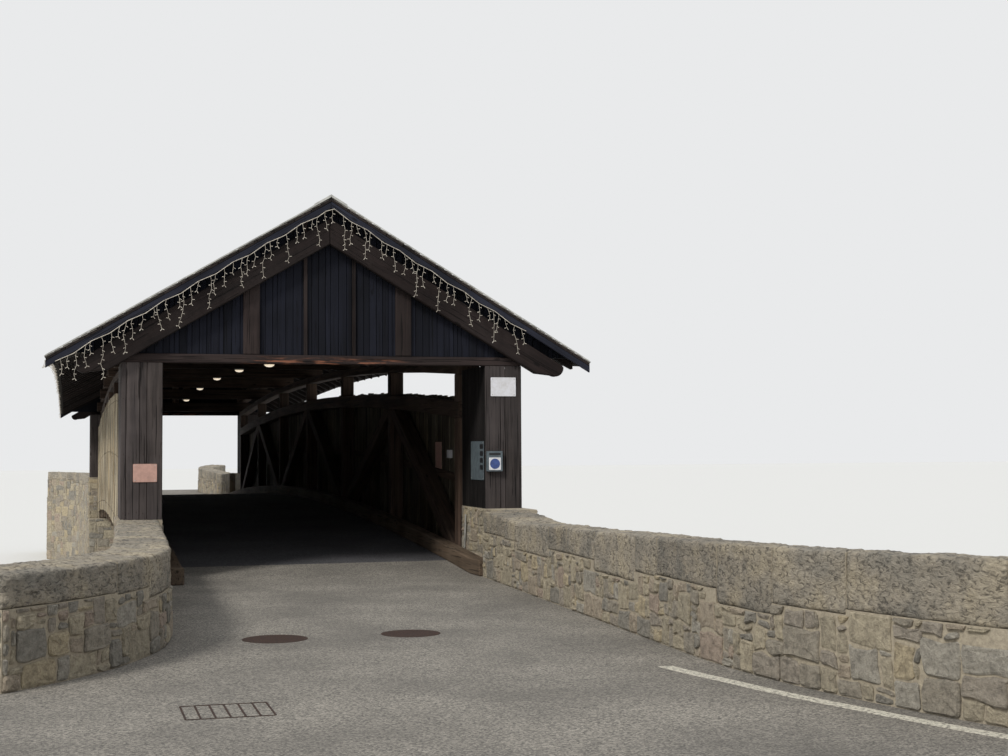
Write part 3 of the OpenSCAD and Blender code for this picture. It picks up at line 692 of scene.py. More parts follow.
# The lowest point number in the same loose part, for each point.
def islandLabels(mesh):
    pairs = np.empty(len(mesh.edges) * 2, np.int32)
    mesh.edges.foreach_get("vertices", pairs)
    a, b = pairs.reshape(-1, 2).T
    label = np.arange(len(mesh.vertices))
    while True:
        low = np.minimum(label[a], label[b])
        new = label.copy()
        np.minimum.at(new, a, low)
        np.minimum.at(new, b, low)
        new = new[new]
        if (new == label).all():
            return label
        label = new


# How far apart the timbers lie in the grain's own space, so that no two look alike.
grainReach = 40


# Gives every separate timber its own coordinates: along its grain, across it and through it.
# The last argument says, from places and centres, how far each point is out of the light, 0 to 1: the mask
# for painted shade.
def addGrain(mesh, seed, paintedShade=None):
    rng = np.random.default_rng(seed)
    places = np.empty(len(mesh.vertices) * 3)
    mesh.vertices.foreach_get("co", places)
    places = places.reshape(-1, 3)
    label = islandLabels(mesh)
    order = np.argsort(label, kind="stable")
    cuts = np.flatnonzero(np.diff(label[order])) + 1
    grain = np.zeros_like(places)
    centres = np.zeros_like(places)
    tones = np.zeros(len(places))
    for members in np.split(order, cuts):
        centres[members] = places[members].mean(0)
        centred = places[members] - centres[members]
        axes = np.linalg.eigh(centred.T @ centred)[1]
        grain[members] = centred @ axes[:, ::-1] + rng.uniform(0, grainReach, 3)
        tones[members] = rng.random()
    pointLayer(mesh, "grainPos", "FLOAT_VECTOR", grain.ravel())
    pointLayer(mesh, "boardTone", "FLOAT", tones)
    if paintedShade is not None:
        pointLayer(mesh, "paintedShade", "FLOAT", paintedShade(places, centres).astype(float))


# Points closer than this, in metres, and faces flatter than this turn are one; sharper edges
# than the last turn are eased. Turns are in radians.
easing = {"weld": 1e-5, "flat": math.radians(0.4), "sharp": 0.5}


# The CAD timber with its sharp edges eased, as an adze or a drawknife leaves them.
def easedTimber(name, node, edge, material, seed):
    work = bmesh.new()
    work.from_mesh(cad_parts[node].data)
    bmesh.ops.remove_doubles(work, verts=work.verts, dist=easing["weld"])
    bmesh.ops.dissolve_limit(work, angle_limit=easing["flat"], verts=work.verts,
                             edges=work.edges)
    sharp = [e for e in work.edges if e.is_manifold and e.calc_face_angle(0) > easing["sharp"]]
    bmesh.ops.bevel(work, geom=sharp, offset=edge, segments=1, affect="EDGES",
                    clamp_overlap=True)
    bmesh.ops.recalc_face_normals(work, faces=work.faces)
    mesh = bpy.data.meshes.new(name)
    work.to_mesh(mesh)
    work.free()
    addGrain(mesh, seed)
    return placePiece(name, mesh, material, [node])


# What a row of boards is like where its piece doesn't say otherwise.
boardSizes = {"Board width": 0.1, "Board thickness": 0.02, "Eased edge": 0.003, "Head taper": 1.0,
              "Depth spread": 0.0, "Lean spread": 0.0, "Seed": 1}


def makeBoardTree(name, easedEdges):
    tree, source = startTree(name, boardSizes)
    outline = addNode(tree, "GeometryNodeCurvePrimitiveQuadrilateral",
                      links={"Width": source["Board width"], "Height": source["Board thickness"]})
    if easedEdges:
        outline = addNode(tree, "GeometryNodeFilletCurve", {"mode": "POLY"}, {"Count": 1},
                          {"Curve": outline, "Radius": source["Eased edge"]})
    foot = addNode(tree, "GeometryNodeFillCurve", {"mode": "NGONS"}, links={"Curve": outline})
    body = addNode(tree, "GeometryNodeExtrudeMesh", {"mode": "FACES"},
                   {"Offset": (0, 0, 1), "Offset Scale": 1.0, "Individual": False},
                   {"Mesh": foot})
    place = addNode(tree, "GeometryNodeInputPosition")
    thin = addNode(tree, "ShaderNodeCombineXYZ", values={"X": 1.0, "Z": 1.0},
                   links={"Y": source["Head taper"]})
    thinned = addNode(tree, "ShaderNodeVectorMath", {"operation": "MULTIPLY"},
                      links={0: place, 1: thin})
    tapered = addNode(tree, "GeometryNodeSetPosition",
                      links={"Geometry": body, "Selection": body.outputs["Top"],
                             "Position": thinned})
    under = addNode(tree, "GeometryNodeFlipFaces", links={"Mesh": foot})
    both = addNode(tree, "GeometryNodeJoinGeometry", links={0: [tapered, under]})
    board = addNode(tree, "GeometryNodeMergeByDistance", values={"Distance": easing["weld"]},
                    links={"Geometry": both})
    size = addNode(tree, "GeometryNodeInputNamedAttribute", {"data_type": "FLOAT_VECTOR"},
                   {"Name": "boardSize"})
    nominal = addNode(tree, "ShaderNodeCombineXYZ", values={"Z": 1.0},
                      links={"X": source["Board width"], "Y": source["Board thickness"]})
    scale = addNode(tree, "ShaderNodeVectorMath", {"operation": "DIVIDE"},
                    links={0: size, 1: nominal})
    rows = addNode(tree, "GeometryNodeInstanceOnPoints",
                   links={"Points": source["Guide"], "Instance": board,
                          "Rotation": pointTurn(tree, "boardTurn"), "Scale": scale})
    depth = addNode(tree, "FunctionNodeRandomValue", {"data_type": "FLOAT"}, {2: -1.0, 3: 1.0},
                    {"Seed": source["Seed"]})
    depthMove = addNode(tree, "ShaderNodeMath", {"operation": "MULTIPLY"},
                        links={0: depth.outputs[1], 1: source["Depth spread"]})
    shift = addNode(tree, "ShaderNodeCombineXYZ", links={"Y": depthMove})
    moved = addNode(tree, "GeometryNodeTranslateInstances",
                    links={"Instances": rows, "Translation": shift})
    lean = addNode(tree, "FunctionNodeRandomValue", {"data_type": "FLOAT_VECTOR"},
                   {0: (-1, -1, -1), 1: (1, 1, 1)}, {"Seed": source["Seed"]})
    leanMove = addNode(tree, "ShaderNodeVectorMath", {"operation": "SCALE"},
                       links={0: lean, "Scale": source["Lean spread"]})
    leanTurn = addNode(tree, "FunctionNodeEulerToRotation", links={0: leanMove})
    leaned = addNode(tree, "GeometryNodeRotateInstances",
                     links={"Instances": moved, "Rotation": leanTurn})
    return endTree(tree, source, leaned)


boardTree = makeBoardTree("boardRows", True)
shingleTree = makeBoardTree("shingleRows", False)


# Each board is (foot, (width, thickness, length), (turn x, y, z)).
def boardPiece(name, boards, sizes, material, nodes=(), tree=boardTree, paintedShade=None):
    guide = newMesh("boardGuide", [b[0] for b in boards])
    pointLayer(guide, "boardSize", "FLOAT_VECTOR", [v for b in boards for v in b[1]])
    pointLayer(guide, "boardTurn", "FLOAT_VECTOR", [v for b in boards for v in b[2]])
    mesh = growMesh(name, guide, tree, boardSizes | sizes | {"Finish": material})
    addGrain(mesh, sizes["Seed"], paintedShade)
    return placePiece(name, mesh, None, nodes)


# Splits a run into boards of uneven width, and gives each one's start and width.
def splitRun(rows, start, stop, rng):
    count = max(1, round((stop - start) / rows["width"]))
    shares = [1 + rng.uniform(-rows["spread"], rows["spread"]) for _ in range(count)]
    widths = [(stop - start) * share / sum(shares) for share in shares]
    return zip(accumulate(widths, initial=start), widths)


# The side boarding stands behind the trusses, each board following the camber.
sideBoards = {"width": 0.1, "spread": 0.42, "thickness": 0.02, "gap": 0.006, "below": 0.2,
              "above": 1.185, "inner": 1.215, "ragged": 0.016, "topSpread": (-1, 0.3)}


def makeSideBoards(side, seed):
    rng = random.Random(seed)
    boards = []
    middle = sideBoards["inner"] + sideBoards["thickness"] / 2
    for y, width in splitRun(sideBoards, *trussRun, rng):
        level = road + rise(y + width / 2)
        foot = level - sideBoards["below"] + rng.uniform(0, sideBoards["ragged"])
        top = level + sideBoards["above"] + rng.uniform(*sideBoards["topSpread"]) * sideBoards["ragged"]
        boards.append(((side * middle, y + width / 2, foot),
                       (width - sideBoards["gap"], sideBoards["thickness"], top - foot),
                       (0, 0, math.pi / 2)))
    name = sideName(side)
    boardPiece(name + "SideBoards", boards,
               {"Board width": sideBoards["width"], "Board thickness": sideBoards["thickness"],
                "Depth spread": 0.003, "Lean spread": 0.002, "Seed": seed},
               sideLarch, [name + "_boarding"],
               # The boards' inner faces, towards the roadway, get painted shade.
               paintedShade=lambda places, centres: np.abs(places[:, 0]) < middle)


makeSideBoards(1, 11)
makeSideBoards(-1, 12)

# Casing boards stand upright round each portal post pair.
casingBoards = {"thickness": 0.016, "gap": 0.003, "width": 0.085, "spread": 0.2,
                "front": {1: [0.110, 0.035, 0.120], -1: [0.101, 0.046, 0.088, 0.030]}}


def makeCasing(end, seed):
    boards = []
    rng = random.Random(seed)
    t = casingBoards["thickness"]
    width, depth = bridge["casingWidth"], bridge["casingDepth"]
    inner = bridge["clearWidth"] / 2
    for side in (1, -1):
        base = wings[sideName(side)]["base"]
        rows = []   # (x, y, board width, turn) at the near right corner
        for y in (t / 2, depth - t / 2):
            x = inner
            for w in casingBoards["front"][side]:
                rows.append((x + w / 2, y, w, 0.0))
                x += w
        for x in (inner + t / 2, inner + width - t / 2):
            for y, w in splitRun(casingBoards, t, depth - t, rng):
                rows.append((x, y + w / 2, w, math.pi / 2))
        for x, y, w, turn in rows:
            boards.append((endPlace(end, side, x, y, road + base),
                           (w - casingBoards["gap"], t, bridge["casingTop"] - base),
                           (0, 0, turn)))
    boardPiece(end + "CasingBoards", boards,
               {"Board thickness": t, "Depth spread": 0.0015, "Seed": 33},
               boardLarch, [end + "_casings"],
               # The casing boards that face the roadway get painted shade.
               paintedShade=lambda places, centres: np.abs(centres[:, 0]) < inner + 2 * t)


makeCasing("near", 31)
makeCasing("far", 32)

# Gable boards: narrow and upright, with browner cover strips over two of the joints.
gableBoards = {"width": 0.044, "spread": 0.4, "thickness": 0.009, "gap": 0.003,
               "front": 0.0303, "foot": 1.502, "drop": 0.045, "sideGap": 0.02, "shortest": 0.02,
               "strips": (-0.157, 0.175), "stripWidth": 0.024, "stripThick": 0.012}


def makeGable(end, seed):
    rng = random.Random(seed)
    foot, thickness = gableBoards["foot"], gableBoards["thickness"]
    edge = (bridge["ridgeTop"] - gableBoards["drop"] - foot) / slope - gableBoards["sideGap"]

    def upright(x, width, front, thick):
        top = roofLine(abs(x) + width / 2, gableBoards["drop"])
        y = gableBoards["front"] - front - thick / 2
        return (endPlace(end, 1, x, y, road + foot), (width, thick, top - foot), (0, 0, 0))

    boards = [upright(x + width / 2, width - gableBoards["gap"], 0, thickness)
              for x, width in splitRun(gableBoards, -edge, edge, rng)]
    boards = [board for board in boards if board[1][2] > gableBoards["shortest"]]
    strips = [upright(x, gableBoards["stripWidth"], thickness, gableBoards["stripThick"])
              for x in gableBoards["strips"]]
    sizes = {"Board width": gableBoards["width"], "Board thickness": thickness, "Eased edge": 0.002,
             "Depth spread": 0.0015, "Seed": 43}
    boardPiece(end + "GableBoards", boards, sizes, gableLarch)
    boardPiece(end + "GableStrips", strips, sizes, rakeLarch)


makeGable("near", 41)
makeGable("far", 42)

# Bearing planks lie across the stringers.
deckBoards = {"width": 0.11, "spread": 0.15, "gap": 0.004, "under": 0.06, "thickness": 0.035,
              "planed": 0.001, "half": 1.073}


def makeDeck(seed):
    rng = random.Random(seed)
    crossways = Matrix(((0, 0, 1), (1, 0, 0), (0, 1, 0)))
    boards = []
    for y, width in splitRun(deckBoards, *trussRun, rng):
        z = road + rise(y + width / 2) - deckBoards["under"] + deckBoards["thickness"] / 2
        tilt = math.atan2(rise(y + width) - rise(y), width)
        boards.append(((-deckBoards["half"], y + width / 2, z),
                       (width - deckBoards["gap"], deckBoards["thickness"] - deckBoards["planed"],
                        2 * deckBoards["half"]),
                       tuple((Matrix.Rotation(tilt, 3, "X") @ crossways).to_euler())))
    boardPiece("bearingPlanks", boards,
               {"Board width": deckBoards["width"], "Board thickness": deckBoards["thickness"],
                "Seed": seed + 1}, deckLarch, ["deck_planks"])


makeDeck(51)
print("boards laid")

# Tall loads have scraped the lower edge of the tie to bare reddish wood in the middle.
scrape = {"foot": road + 1.442, "full": 0.012, "height": 0.05, "middle": -0.03, "half": 0.6,
          "heart": 0.7, "bare": "#94624b"}


def addScrape(material):
    tree = material.node_tree
    shader = tree.nodes["Principled BSDF"]
    aged = shader.inputs["Base Color"].links[0].from_socket
    coordinates = addNode(tree, "ShaderNodeTexCoord")
    place = addNode(tree, "ShaderNodeSeparateXYZ", links={0: coordinates.outputs["Object"]})
    aside = addNode(tree, "ShaderNodeMath", {"operation": "SUBTRACT"}, {1: scrape["middle"]},
                    {0: place.outputs["X"]})
    apart = addNode(tree, "ShaderNodeMath", {"operation": "ABSOLUTE"}, links={0: aside})
    across = addNode(tree, "ShaderNodeMapRange", values={
        "From Min": scrape["half"] * scrape["heart"], "From Max": scrape["half"], "To Min": 1.0,
        "To Max": 0.0}, links={"Value": apart})
    upward = addNode(tree, "ShaderNodeMapRange", values={
        "From Min": scrape["foot"] + scrape["full"], "From Max": scrape["foot"] + scrape["height"],
        "To Min": 1.0, "To Max": 0.0}, links={"Value": place.outputs["Z"]})
    long = addNode(tree, "ShaderNodeMapping", values={"Scale": (5, 5, 70)},
                   links={"Vector": coordinates.outputs["Object"]})
    tears = addNode(tree, "ShaderNodeTexNoise",
                    values={"Scale": 1.0, "Detail": 5, "Roughness": 0.65},
                    links={"Vector": long})
    tearRamp = addNode(tree, "ShaderNodeValToRGB", links={"Fac": tears})
    torn = setRamp(tearRamp, [(0.5, 0.0), (0.6, 1.0)])
    patch = addNode(tree, "ShaderNodeMath", {"operation": "MULTIPLY"}, links={0: across, 1: upward})
    share = addNode(tree, "ShaderNodeMath", {"operation": "MULTIPLY"}, links={0: patch, 1: torn})
    mixed = addNode(tree, "ShaderNodeMix", {"data_type": "RGBA"}, {7: toLinear(scrape["bare"])},
                    {0: share, 6: aged})
    tree.links.new(mixed.outputs[2], shader.inputs["Base Color"])


addScrape(scrapedLarch)

# Timbers: piece, CAD node, eased edge, material, slot.
timbers = [("portalPosts", "portal_posts", 0.004, beamLarch, "old_timber"),
           ("deckStringers", "stringers", 0.004, deckLarch, "deck_timber"),
           ("floorBeams", "floor_beams", 0.005, deckLarch, "deck_timber"),
           ("curbTimbers", "curbs", 0.008, deckLarch, "deck_timber")]
timbers += [(side + piece, side + node, 0.006, beamLarch, "old_timber") for piece, node in (
    ("LowerChord", "_lower_chord"), ("UpperChord", "_upper_chord"), ("TrussPosts", "_posts"),
    ("TrussDiagonals", "_diagonals")) for side in ("right", "left")]
timbers += [(piece, node, edge, beamLarch, "old_timber") for piece, node, edge in (
    ("boardingRails", "boarding_rails", 0.003), ("wallPlates", "wall_plates", 0.005),
    ("tieBeams", "tie_beams", 0.006), ("polePlates", "pole_plates", 0.005),
    ("kingPosts", "king_posts", 0.004), ("ridgeBeam", "ridge_beam", 0.004))]
timbers += [("commonRafters", "rafters", 0.003, roofLarch, "old_timber"),
            ("gableFrames", "gable_frames", 0.006, scrapedLarch, "gable_timber"),
            ("vergeBoards", "verge_boards", 0.003, vergeLarch, "verge_timber")]
for index, (name, node, edge, material, slot) in enumerate(timbers):
    easedTimber(name, node, edge, material, 100 + index)
print("timbers eased")

# Roof boards run along the bridge, side by side up the slope.
roofBoarding = {"width": 0.14 / slopeLength, "spread": 0.15, "gap": 0.004, "ridgeGap": 0.001}


def makeRoofBoards(side, seed):
    rng = random.Random(seed)
    top = bridge["coverThickness"] * slopeLength
    under = top + bridge["roofBoard"] * slopeLength
    points, faces = [], []
    for x, width in splitRun(roofBoarding, 0.0, bridge["eaveX"], rng):
        a = x + (roofBoarding["gap"] / 2 if x > 0 else roofBoarding["ridgeGap"])
        b = x + width - roofBoarding["gap"] / 2
        first = len(points)
        for y in roofStops:
            for c, drop in ((a, under), (a, top), (b, top), (b, under)):
                points.append((side * c, y, road + rise(y) + roofLine(c, drop)))
        faces += ringFaces(first, len(roofStops), 4)
        faces.append(tuple(range(first + 3, first - 1, -1)))
        faces.append(tuple(range(len(points) - 4, len(points))))
    name = sideName(side)
    mesh = newMesh(name + "RoofBoards", points, faces)
    addGrain(mesh, seed)
    placePiece(name + "RoofBoards", mesh, roofLarch, [name + "_roof_boards"])


makeRoofBoards(1, 61)
makeRoofBoards(-1, 62)

# Split shingles in courses: each is thick at its butt, thin at its head, and lies over two more.
# A short doubling course, the starter, lies under the first one. The probe is how far to
# either side of a shingle the camber is read.
shingles = {"exposure": 0.065, "width": 0.07, "spread": 0.38, "length": 0.108, "butt": 0.008,
            "taper": 0.25, "gap": 0.0022, "ragged": 0.005, "eaveRagged": 0.3, "probe": 0.03,
            "starterLength": 0.066, "starterRise": 0.4, "starterButt": 0.8}


def layShingles(side, seed):
    rng = random.Random(seed)
    cover, probe = bridge["coverThickness"], shingles["probe"]
    slopeRun = bridge["eaveX"] * slopeLength
    courses = round(slopeRun / shingles["exposure"])
    exposure = slopeRun / courses
    tilt = (cover - shingles["butt"] * (0.5 + shingles["taper"] / 2)) / shingles["length"]
    butt = cover - shingles["butt"] / 2
    upSlope = Vector((-side, 0, slope)).normalized()
    boards = []
    for course in range(-1, courses):
        starter = course < 0
        share = shingles["starterRise"] if starter else 1
        longest = shingles["starterLength" if starter else "length"]
        thick = shingles["butt"] * (shingles["starterButt"] if starter else 1)
        ragged = shingles["ragged"]
        for y, width in splitRun(shingles, roofStops[0], roofStops[-1], rng):
            middle = y + width / 2
            climb = (rise(middle + probe) - rise(middle - probe)) / (2 * probe)
            along = Vector((0, 1, climb)).normalized()
            normal = along.cross(upSlope) * side
            normal.normalize()
            up = normal.cross(along) * side
            start = rng.uniform(0, ragged) * (shingles["eaveRagged"] if course <= 0 else 1)
            reach = slopeRun - max(course, 0) * exposure - start
            axis = (up - normal * tilt * share).normalized()
            turn = Matrix((along, axis.cross(along), axis)).transposed().to_euler()
            x = side * reach / slopeLength
            base = Vector((x, middle, road + rise(middle) + roofLine(x, cover * slopeLength)))
            boards.append((tuple(base + normal * butt * share),
                           (width - shingles["gap"], thick, min(longest, reach)), tuple(turn)))
    name = sideName(side)
    boardPiece(name + "RoofShingles", boards,
               {"Board width": shingles["width"], "Board thickness": shingles["butt"],
                "Head taper": shingles["taper"], "Depth spread": 0.0006, "Lean spread": 0.006,
                "Seed": seed},
               shingleLarch, [name + "_shingles"], shingleTree)


layShingles(1, 71)
layShingles(-1, 72)
print("roof laid")


# Rubble on a face: blocky stones of very different sizes are packed on a loose grid whose
# crossings are moved about, and each stone is cut back by half a joint. Sizes are in cells.
rubble = {"cell": 0.031, "jitter": 0.34, "joint": 0.009,
          "sizes": ((7, 4), (6, 3), (5, 4), (5, 2), (4, 3), (4, 2), (3, 4), (3, 3), (3, 2), (3, 1),
                    (2, 3), (2, 2), (2, 1)), "tries": 7, "fillers": [(2, 2), (2, 1), (1, 2), (1, 1)],
          "mitre": 0.6, "straight": -0.75, "chip": (0.003, 0.012), "chipShare": 0.4}
# A stone stands proud by a share of its own, leans a little and is rough. It has a root in
# the mortar, a shoulder, a bevel and a face that is set in from the bevel.
stones = {"proud": 0.009, "proudSpread": (0.35, 1.3), "lean": 0.035, "root": 0.012,
          "shoulder": 0.4, "bevel": 0.006, "faceInset": 0.4, "leastShare": 0.2, "rough": 0.0014,
          "faceRough": 0.003, "middleSpread": (-0.002, 0.003), "leastArea": 0.0004,
          "leastSide": 0.001, "topMargin": 0.02}


def rubbleOutlines(width, low, high, seed, scale):
    rng = random.Random(seed)
    columns = max(3, round(width / (rubble["cell"] * scale)))
    rows = max(2, round((high - low) / (rubble["cell"] * scale)))
    w, h = width / columns, (high - low) / rows
    knots = {}
    for i in range(columns + 1):
        for j in range(rows + 1):
            du = rng.uniform(-1, 1) * rubble["jitter"] * w * (0 < i < columns)
            dv = rng.uniform(-1, 1) * rubble["jitter"] * h * (0 < j < rows)
            knots[i, j] = (i * w + du, low + j * h + dv)
    taken, outlines = set(), []
    for j in range(rows):
        for i in range(columns):
            if (i, j) in taken:
                continue
            for a, b in rng.sample(rubble["sizes"], rubble["tries"]) + rubble["fillers"]:
                cells = [(i + p, j + q) for p in range(a) for q in range(b)]
                if i + a <= columns and j + b <= rows and not taken.intersection(cells):
                    break
            taken.update(cells)
            ring = [(i + p, j) for p in range(0, a, 2)] + [(i + a, j + q) for q in range(0, b, 2)]
            ring += [(i + p, j + b) for p in range(a, 0, -2)] + [(i, j + q) for q in range(b, 0, -2)]
            outlines.append(insetOutline([knots[k] for k in ring], rubble["joint"] / 2, rng))
    return outlines


# Moves the sides of an outline inwards and knocks its corners off.
def insetOutline(outline, inset, rng):
    moved = []
    for i, p in enumerate(outline):
        q, o = outline[(i + 1) % len(outline)], outline[i - 1]
        before = Vector((p[0] - o[0], p[1] - o[1])).normalized()
        after = Vector((q[0] - p[0], q[1] - p[1])).normalized()
        way = Vector((-before.y - after.y, before.x + after.x))
        moved.append(Vector(p) + way / max(rubble["mitre"], 1 + before.dot(after)) * inset)
    chipped = []
    for i, p in enumerate(moved):
        q, o = moved[(i + 1) % len(moved)], moved[i - 1]
        back, on = (o - p), (q - p)
        if back.normalized().dot(on.normalized()) > rubble["straight"]:
            for side in (back, on):
                chip = min(rng.uniform(*rubble["chip"]), side.length * rubble["chipShare"])
                chipped.append(tuple(p + side.normalized() * chip))
        else:
            chipped.append(tuple(p))
    return chipped


def outlineArea(outline):
    return abs(sum(p[0] * q[1] - q[0] * p[1]
                   for p, q in zip(outline, outline[1:] + outline[:1]))) / 2


# Fills a face from low to high with stones, which go to points, faces and tones. spot(u, v, d)
# gives a place that stands d out of the wall, and topAt(u) the height that the stones end under.
def addStones(store, size, spot, seed, scale=1.0, topAt=None):
    rng = random.Random(seed)
    points, faces, tones = store
    for outline in rubbleOutlines(*size, seed, scale):
        if topAt:
            us, margin = [p[0] for p in outline], stones["topMargin"]
            top = min(topAt(min(us) + margin), topAt(max(us) - margin), topAt(sum(us) / len(us)))
            outline = [(u, min(v, top - rubble["joint"] / 2)) for u, v in outline]
            outline = [p for i, p in enumerate(outline)
                       if math.dist(p, outline[i - 1]) > stones["leastSide"]]
        if len(outline) < 3 or outlineArea(outline) < stones["leastArea"]:
            continue
        n = len(outline)
        us, vs = [p[0] for p in outline], [p[1] for p in outline]
        cu, cv = sum(us) / n, sum(vs) / n
        halfU, halfV = (max(us) - min(us)) / 2, (max(vs) - min(vs)) / 2
        proud = stones["proud"] * rng.uniform(*stones["proudSpread"])
        leanU, leanV = [rng.uniform(-stones["lean"], stones["lean"]) for _ in range(2)]
        first = len(points)
        rings = ((0, -stones["root"], 0), (0, proud * stones["shoulder"], stones["rough"]),
                 (stones["bevel"], proud, stones["rough"]),
                 (stones["faceInset"] * min(halfU, halfV), proud, stones["faceRough"]))
        for inset, depth, rough in rings:
            shareU = max(stones["leastShare"], 1 - inset / halfU)
            shareV = max(stones["leastShare"], 1 - inset / halfV)
            for u, v in outline:
                u2 = cu + (u - cu) * shareU + rng.uniform(-rough, rough)
                v2 = cv + (v - cv) * shareV + rng.uniform(-rough, rough)
                lift = leanU * (u2 - cu) + leanV * (v2 - cv) if rough else 0
                points.append(spot(u2, v2, depth + lift + rng.uniform(-rough, rough)))
        centre, last = len(points), len(points) - n
        points.append(spot(cu, cv, proud + rng.uniform(*stones["middleSpread"])))
        faces.append(tuple(range(first + n - 1, first - 1, -1)))
        faces += ringFaces(first, len(rings), n)
        faces += [(last + i, last + (i + 1) % n, centre) for i in range(n)]
        tones += [rng.random()] * (len(points) - first)


def stonePiece(name, store, material, nodes=()):
    points, faces, tones = store
    mesh = newMesh(name, points, faces)
    pointLayer(mesh, "stoneTone", "FLOAT", tones)
    return placePiece(name, mesh, material, nodes)


# Stones below the road are larger. Those that face the roadway stand out less, and those at
# the pedestal's back leave the boarding free.
walls = {"underRoad": 1.45, "inwardShare": 0.7, "backSunk": 0.003, "boardGap": 0.006,
         "cornerGap": 0.002, "seatDepth": 0.3006}
# The bridge seat lies under the first floor beam and the lower chords.
seatTop = road - walls["seatDepth"] + min(rise(firstPanel - bridge["timber"] / 2),
                                          rise(firstPanel + bridge["timber"] / 2))
pedestalSide = bridge["clearWidth"] / 2 + bridge["casingWidth"] + bridge["pedestalEdge"]


def makeWallStones(end, side, seed):
    key = sideName(side)
    wing = wings[key]
    length, thick, base = wingLength(wing), wing["thickness"], wing["base"]
    store = ([], [], [])
    cuts = copingCuts(wing)

    def topAt(s):
        return bedLevel(sum(1 for c in cuts[1:-1] if c < s))

    # One face of the wall; spot(u, d) gives x and y of a place that stands d out of it.
    def face(step, size, spot, scale=1.0, top=None):
        addStones(store, size, lambda u, v, d: endPlace(end, side, *spot(u, d), road + v),
                  seed + step, scale, top)

    def endCap(u, d):
        x, y = wingPoint(wing, length, u)
        last = math.radians(wing["last"])
        return x + d * math.sin(last), y - d * math.cos(last)

    high = bridge["rubbleTop"] + copingBlocks["bedShift"]
    face(0, (length, 0.0, high), lambda u, d: wingPoint(wing, u, -d), top=topAt)
    face(1, (length, -road, high), lambda u, d: wingPoint(wing, u, thick + d), walls["underRoad"],
         topAt)
    face(2, (thick, -road, topAt(length)), endCap)
    front, back = wing["y"], bridge["casingDepth"]
    inner = bridge["clearWidth"] / 2
    face(3, (back - front, 0.0, base), lambda u, d: (inner - d * walls["inwardShare"], front + u))
    face(4, (back - front, -bridge["layer"], base), lambda u, d: (pedestalSide + d, front + u))
    beside = sideBoards["inner"] + sideBoards["thickness"] + walls["boardGap"]
    face(5, (pedestalSide - beside, seatTop - road, base),
         lambda u, d: (beside + u, back - walls["backSunk"] + d))
    stonePiece(end + key.capitalize() + "WallStones", store, rubbleStone)


def makeAbutmentStones(end, seed):
    store = ([], [], [])
    depth, underRoad = bridge["abutmentDepth"], walls["underRoad"]
    roadBed = road - bridge["layer"]
    for side in (1, -1):
        def beside(u, v, d):
            return endPlace(end, side, pedestalSide + d, u, v)

        addStones(store, (bridge["casingDepth"], seatTop, roadBed), beside, seed + side)
        addStones(store, (depth, 0.0, seatTop), beside, seed + 2 * side, underRoad)
    addStones(store, (2 * pedestalSide, 0.0, seatTop),
              lambda u, v, d: endPlace(end, 1, u - pedestalSide, depth + d, v), seed + 5, underRoad)
    # The front runs square across from the right wall's end, and turns back to the left one's.
    gap, leftWing = walls["cornerGap"], wings["left"]
    right = Vector(wingPoint(wings["right"], wingLength(wings["right"]), -gap))
    left = Vector(wingPoint(leftWing, wingLength(leftWing) + gap, leftWing["thickness"]))
    left.x = -left.x
    corner = Vector((left.x, right.y))
    for a, b, step in ((corner, right, 6), (left, corner, 7)):
        way = (b - a).normalized()
        out = Vector((way.y, -way.x))
        addStones(store, ((b - a).length, 0.0, roadBed),
                  lambda u, v, d: endPlace(end, 1, *(a + way * u + out * d), v), seed + step,
                  underRoad)
    stonePiece(end + "AbutmentStones", store, rubbleStone)


for end, seed in (("near", 200), ("far", 300)):
    makeWallStones(end, 1, seed)
    makeWallStones(end, -1, seed + 20)
    makeAbutmentStones(end, seed + 40)
print("rubble laid")

# Coping: long split blocks, rough all over, with mortar in the joints between them.
def addBlock(store, wing, end, side, s0, s1, bed, seed):
    rng = random.Random(seed)
    points, faces, tones = store
    thick, tone = wing["thickness"], rng.random()
    counts = [max(3, round(size / copingBlocks["grid"]))
              for size in (s1 - s0, thick, copingBlocks["height"])]
    offset = Vector([rng.uniform(0, copingBlocks["noiseReach"]) for _ in range(3)])
    still = copingBlocks["still"]
    index = {}

    def corner(spot):
        if spot in index:
            return index[spot]
        a, b, c = [step / count for step, count in zip(spot, counts)]
        s = s0 + (s1 - s0) * a
        top = wingTop(wing, "topIn", s) * (1 - b) + wingTop(wing, "topOut", s) * b
        half = ((s1 - s0) / 2, thick / 2, (top - bed) / 2)
        u, v, w = (a - 0.5) * (s1 - s0), (b - 0.5) * thick, (c - 0.5) * (top - bed)
        r = copingBlocks["round"] * (1 if c > 0.5 else copingBlocks["footRound"])
        near = [min(max(p, -h + r), h - r) for p, h in zip((u, v, w), half)]
        away = Vector((u - near[0], v - near[1], w - near[2]))
        normal = away.normalized() if away.length > still else Vector((0, 0, 0))
        if sum(1 for q in away if abs(q) > still) > 1:
            away = normal * r
        place = Vector(near) + away
        bump = sum(noise.noise((place + offset) * wave) * share
                   for wave, share in copingBlocks["waves"])
        ends = copingBlocks["endRough"] if abs(normal.x) > copingBlocks["endTurn"] else 1.0
        place += normal * (bump * copingBlocks["rough"] * ends)
        place.x = min(max(place.x, -half[0]), half[0])
        x, y = wingPoint(wing, s0 + half[0] + place.x, thick / 2 + place.y)
        index[spot] = len(points)
        points.append(endPlace(end, side, x, y, road + bed + half[2] + place.z))
        return index[spot]

    first = len(points)
    for fixed in range(3):
        p, q = [axis for axis in range(3) if axis != fixed]
        for level in (0, counts[fixed]):
            for m in range(counts[p]):
                for n in range(counts[q]):
                    quad = []
                    for dm, dn in ((0, 0), (1, 0), (1, 1), (0, 1)):
                        spot = [level] * 3
                        spot[p], spot[q] = m + dm, n + dn
                        quad.append(corner(tuple(spot)))
                    faces.append(tuple(quad))
    tones += [tone] * (len(points) - first)


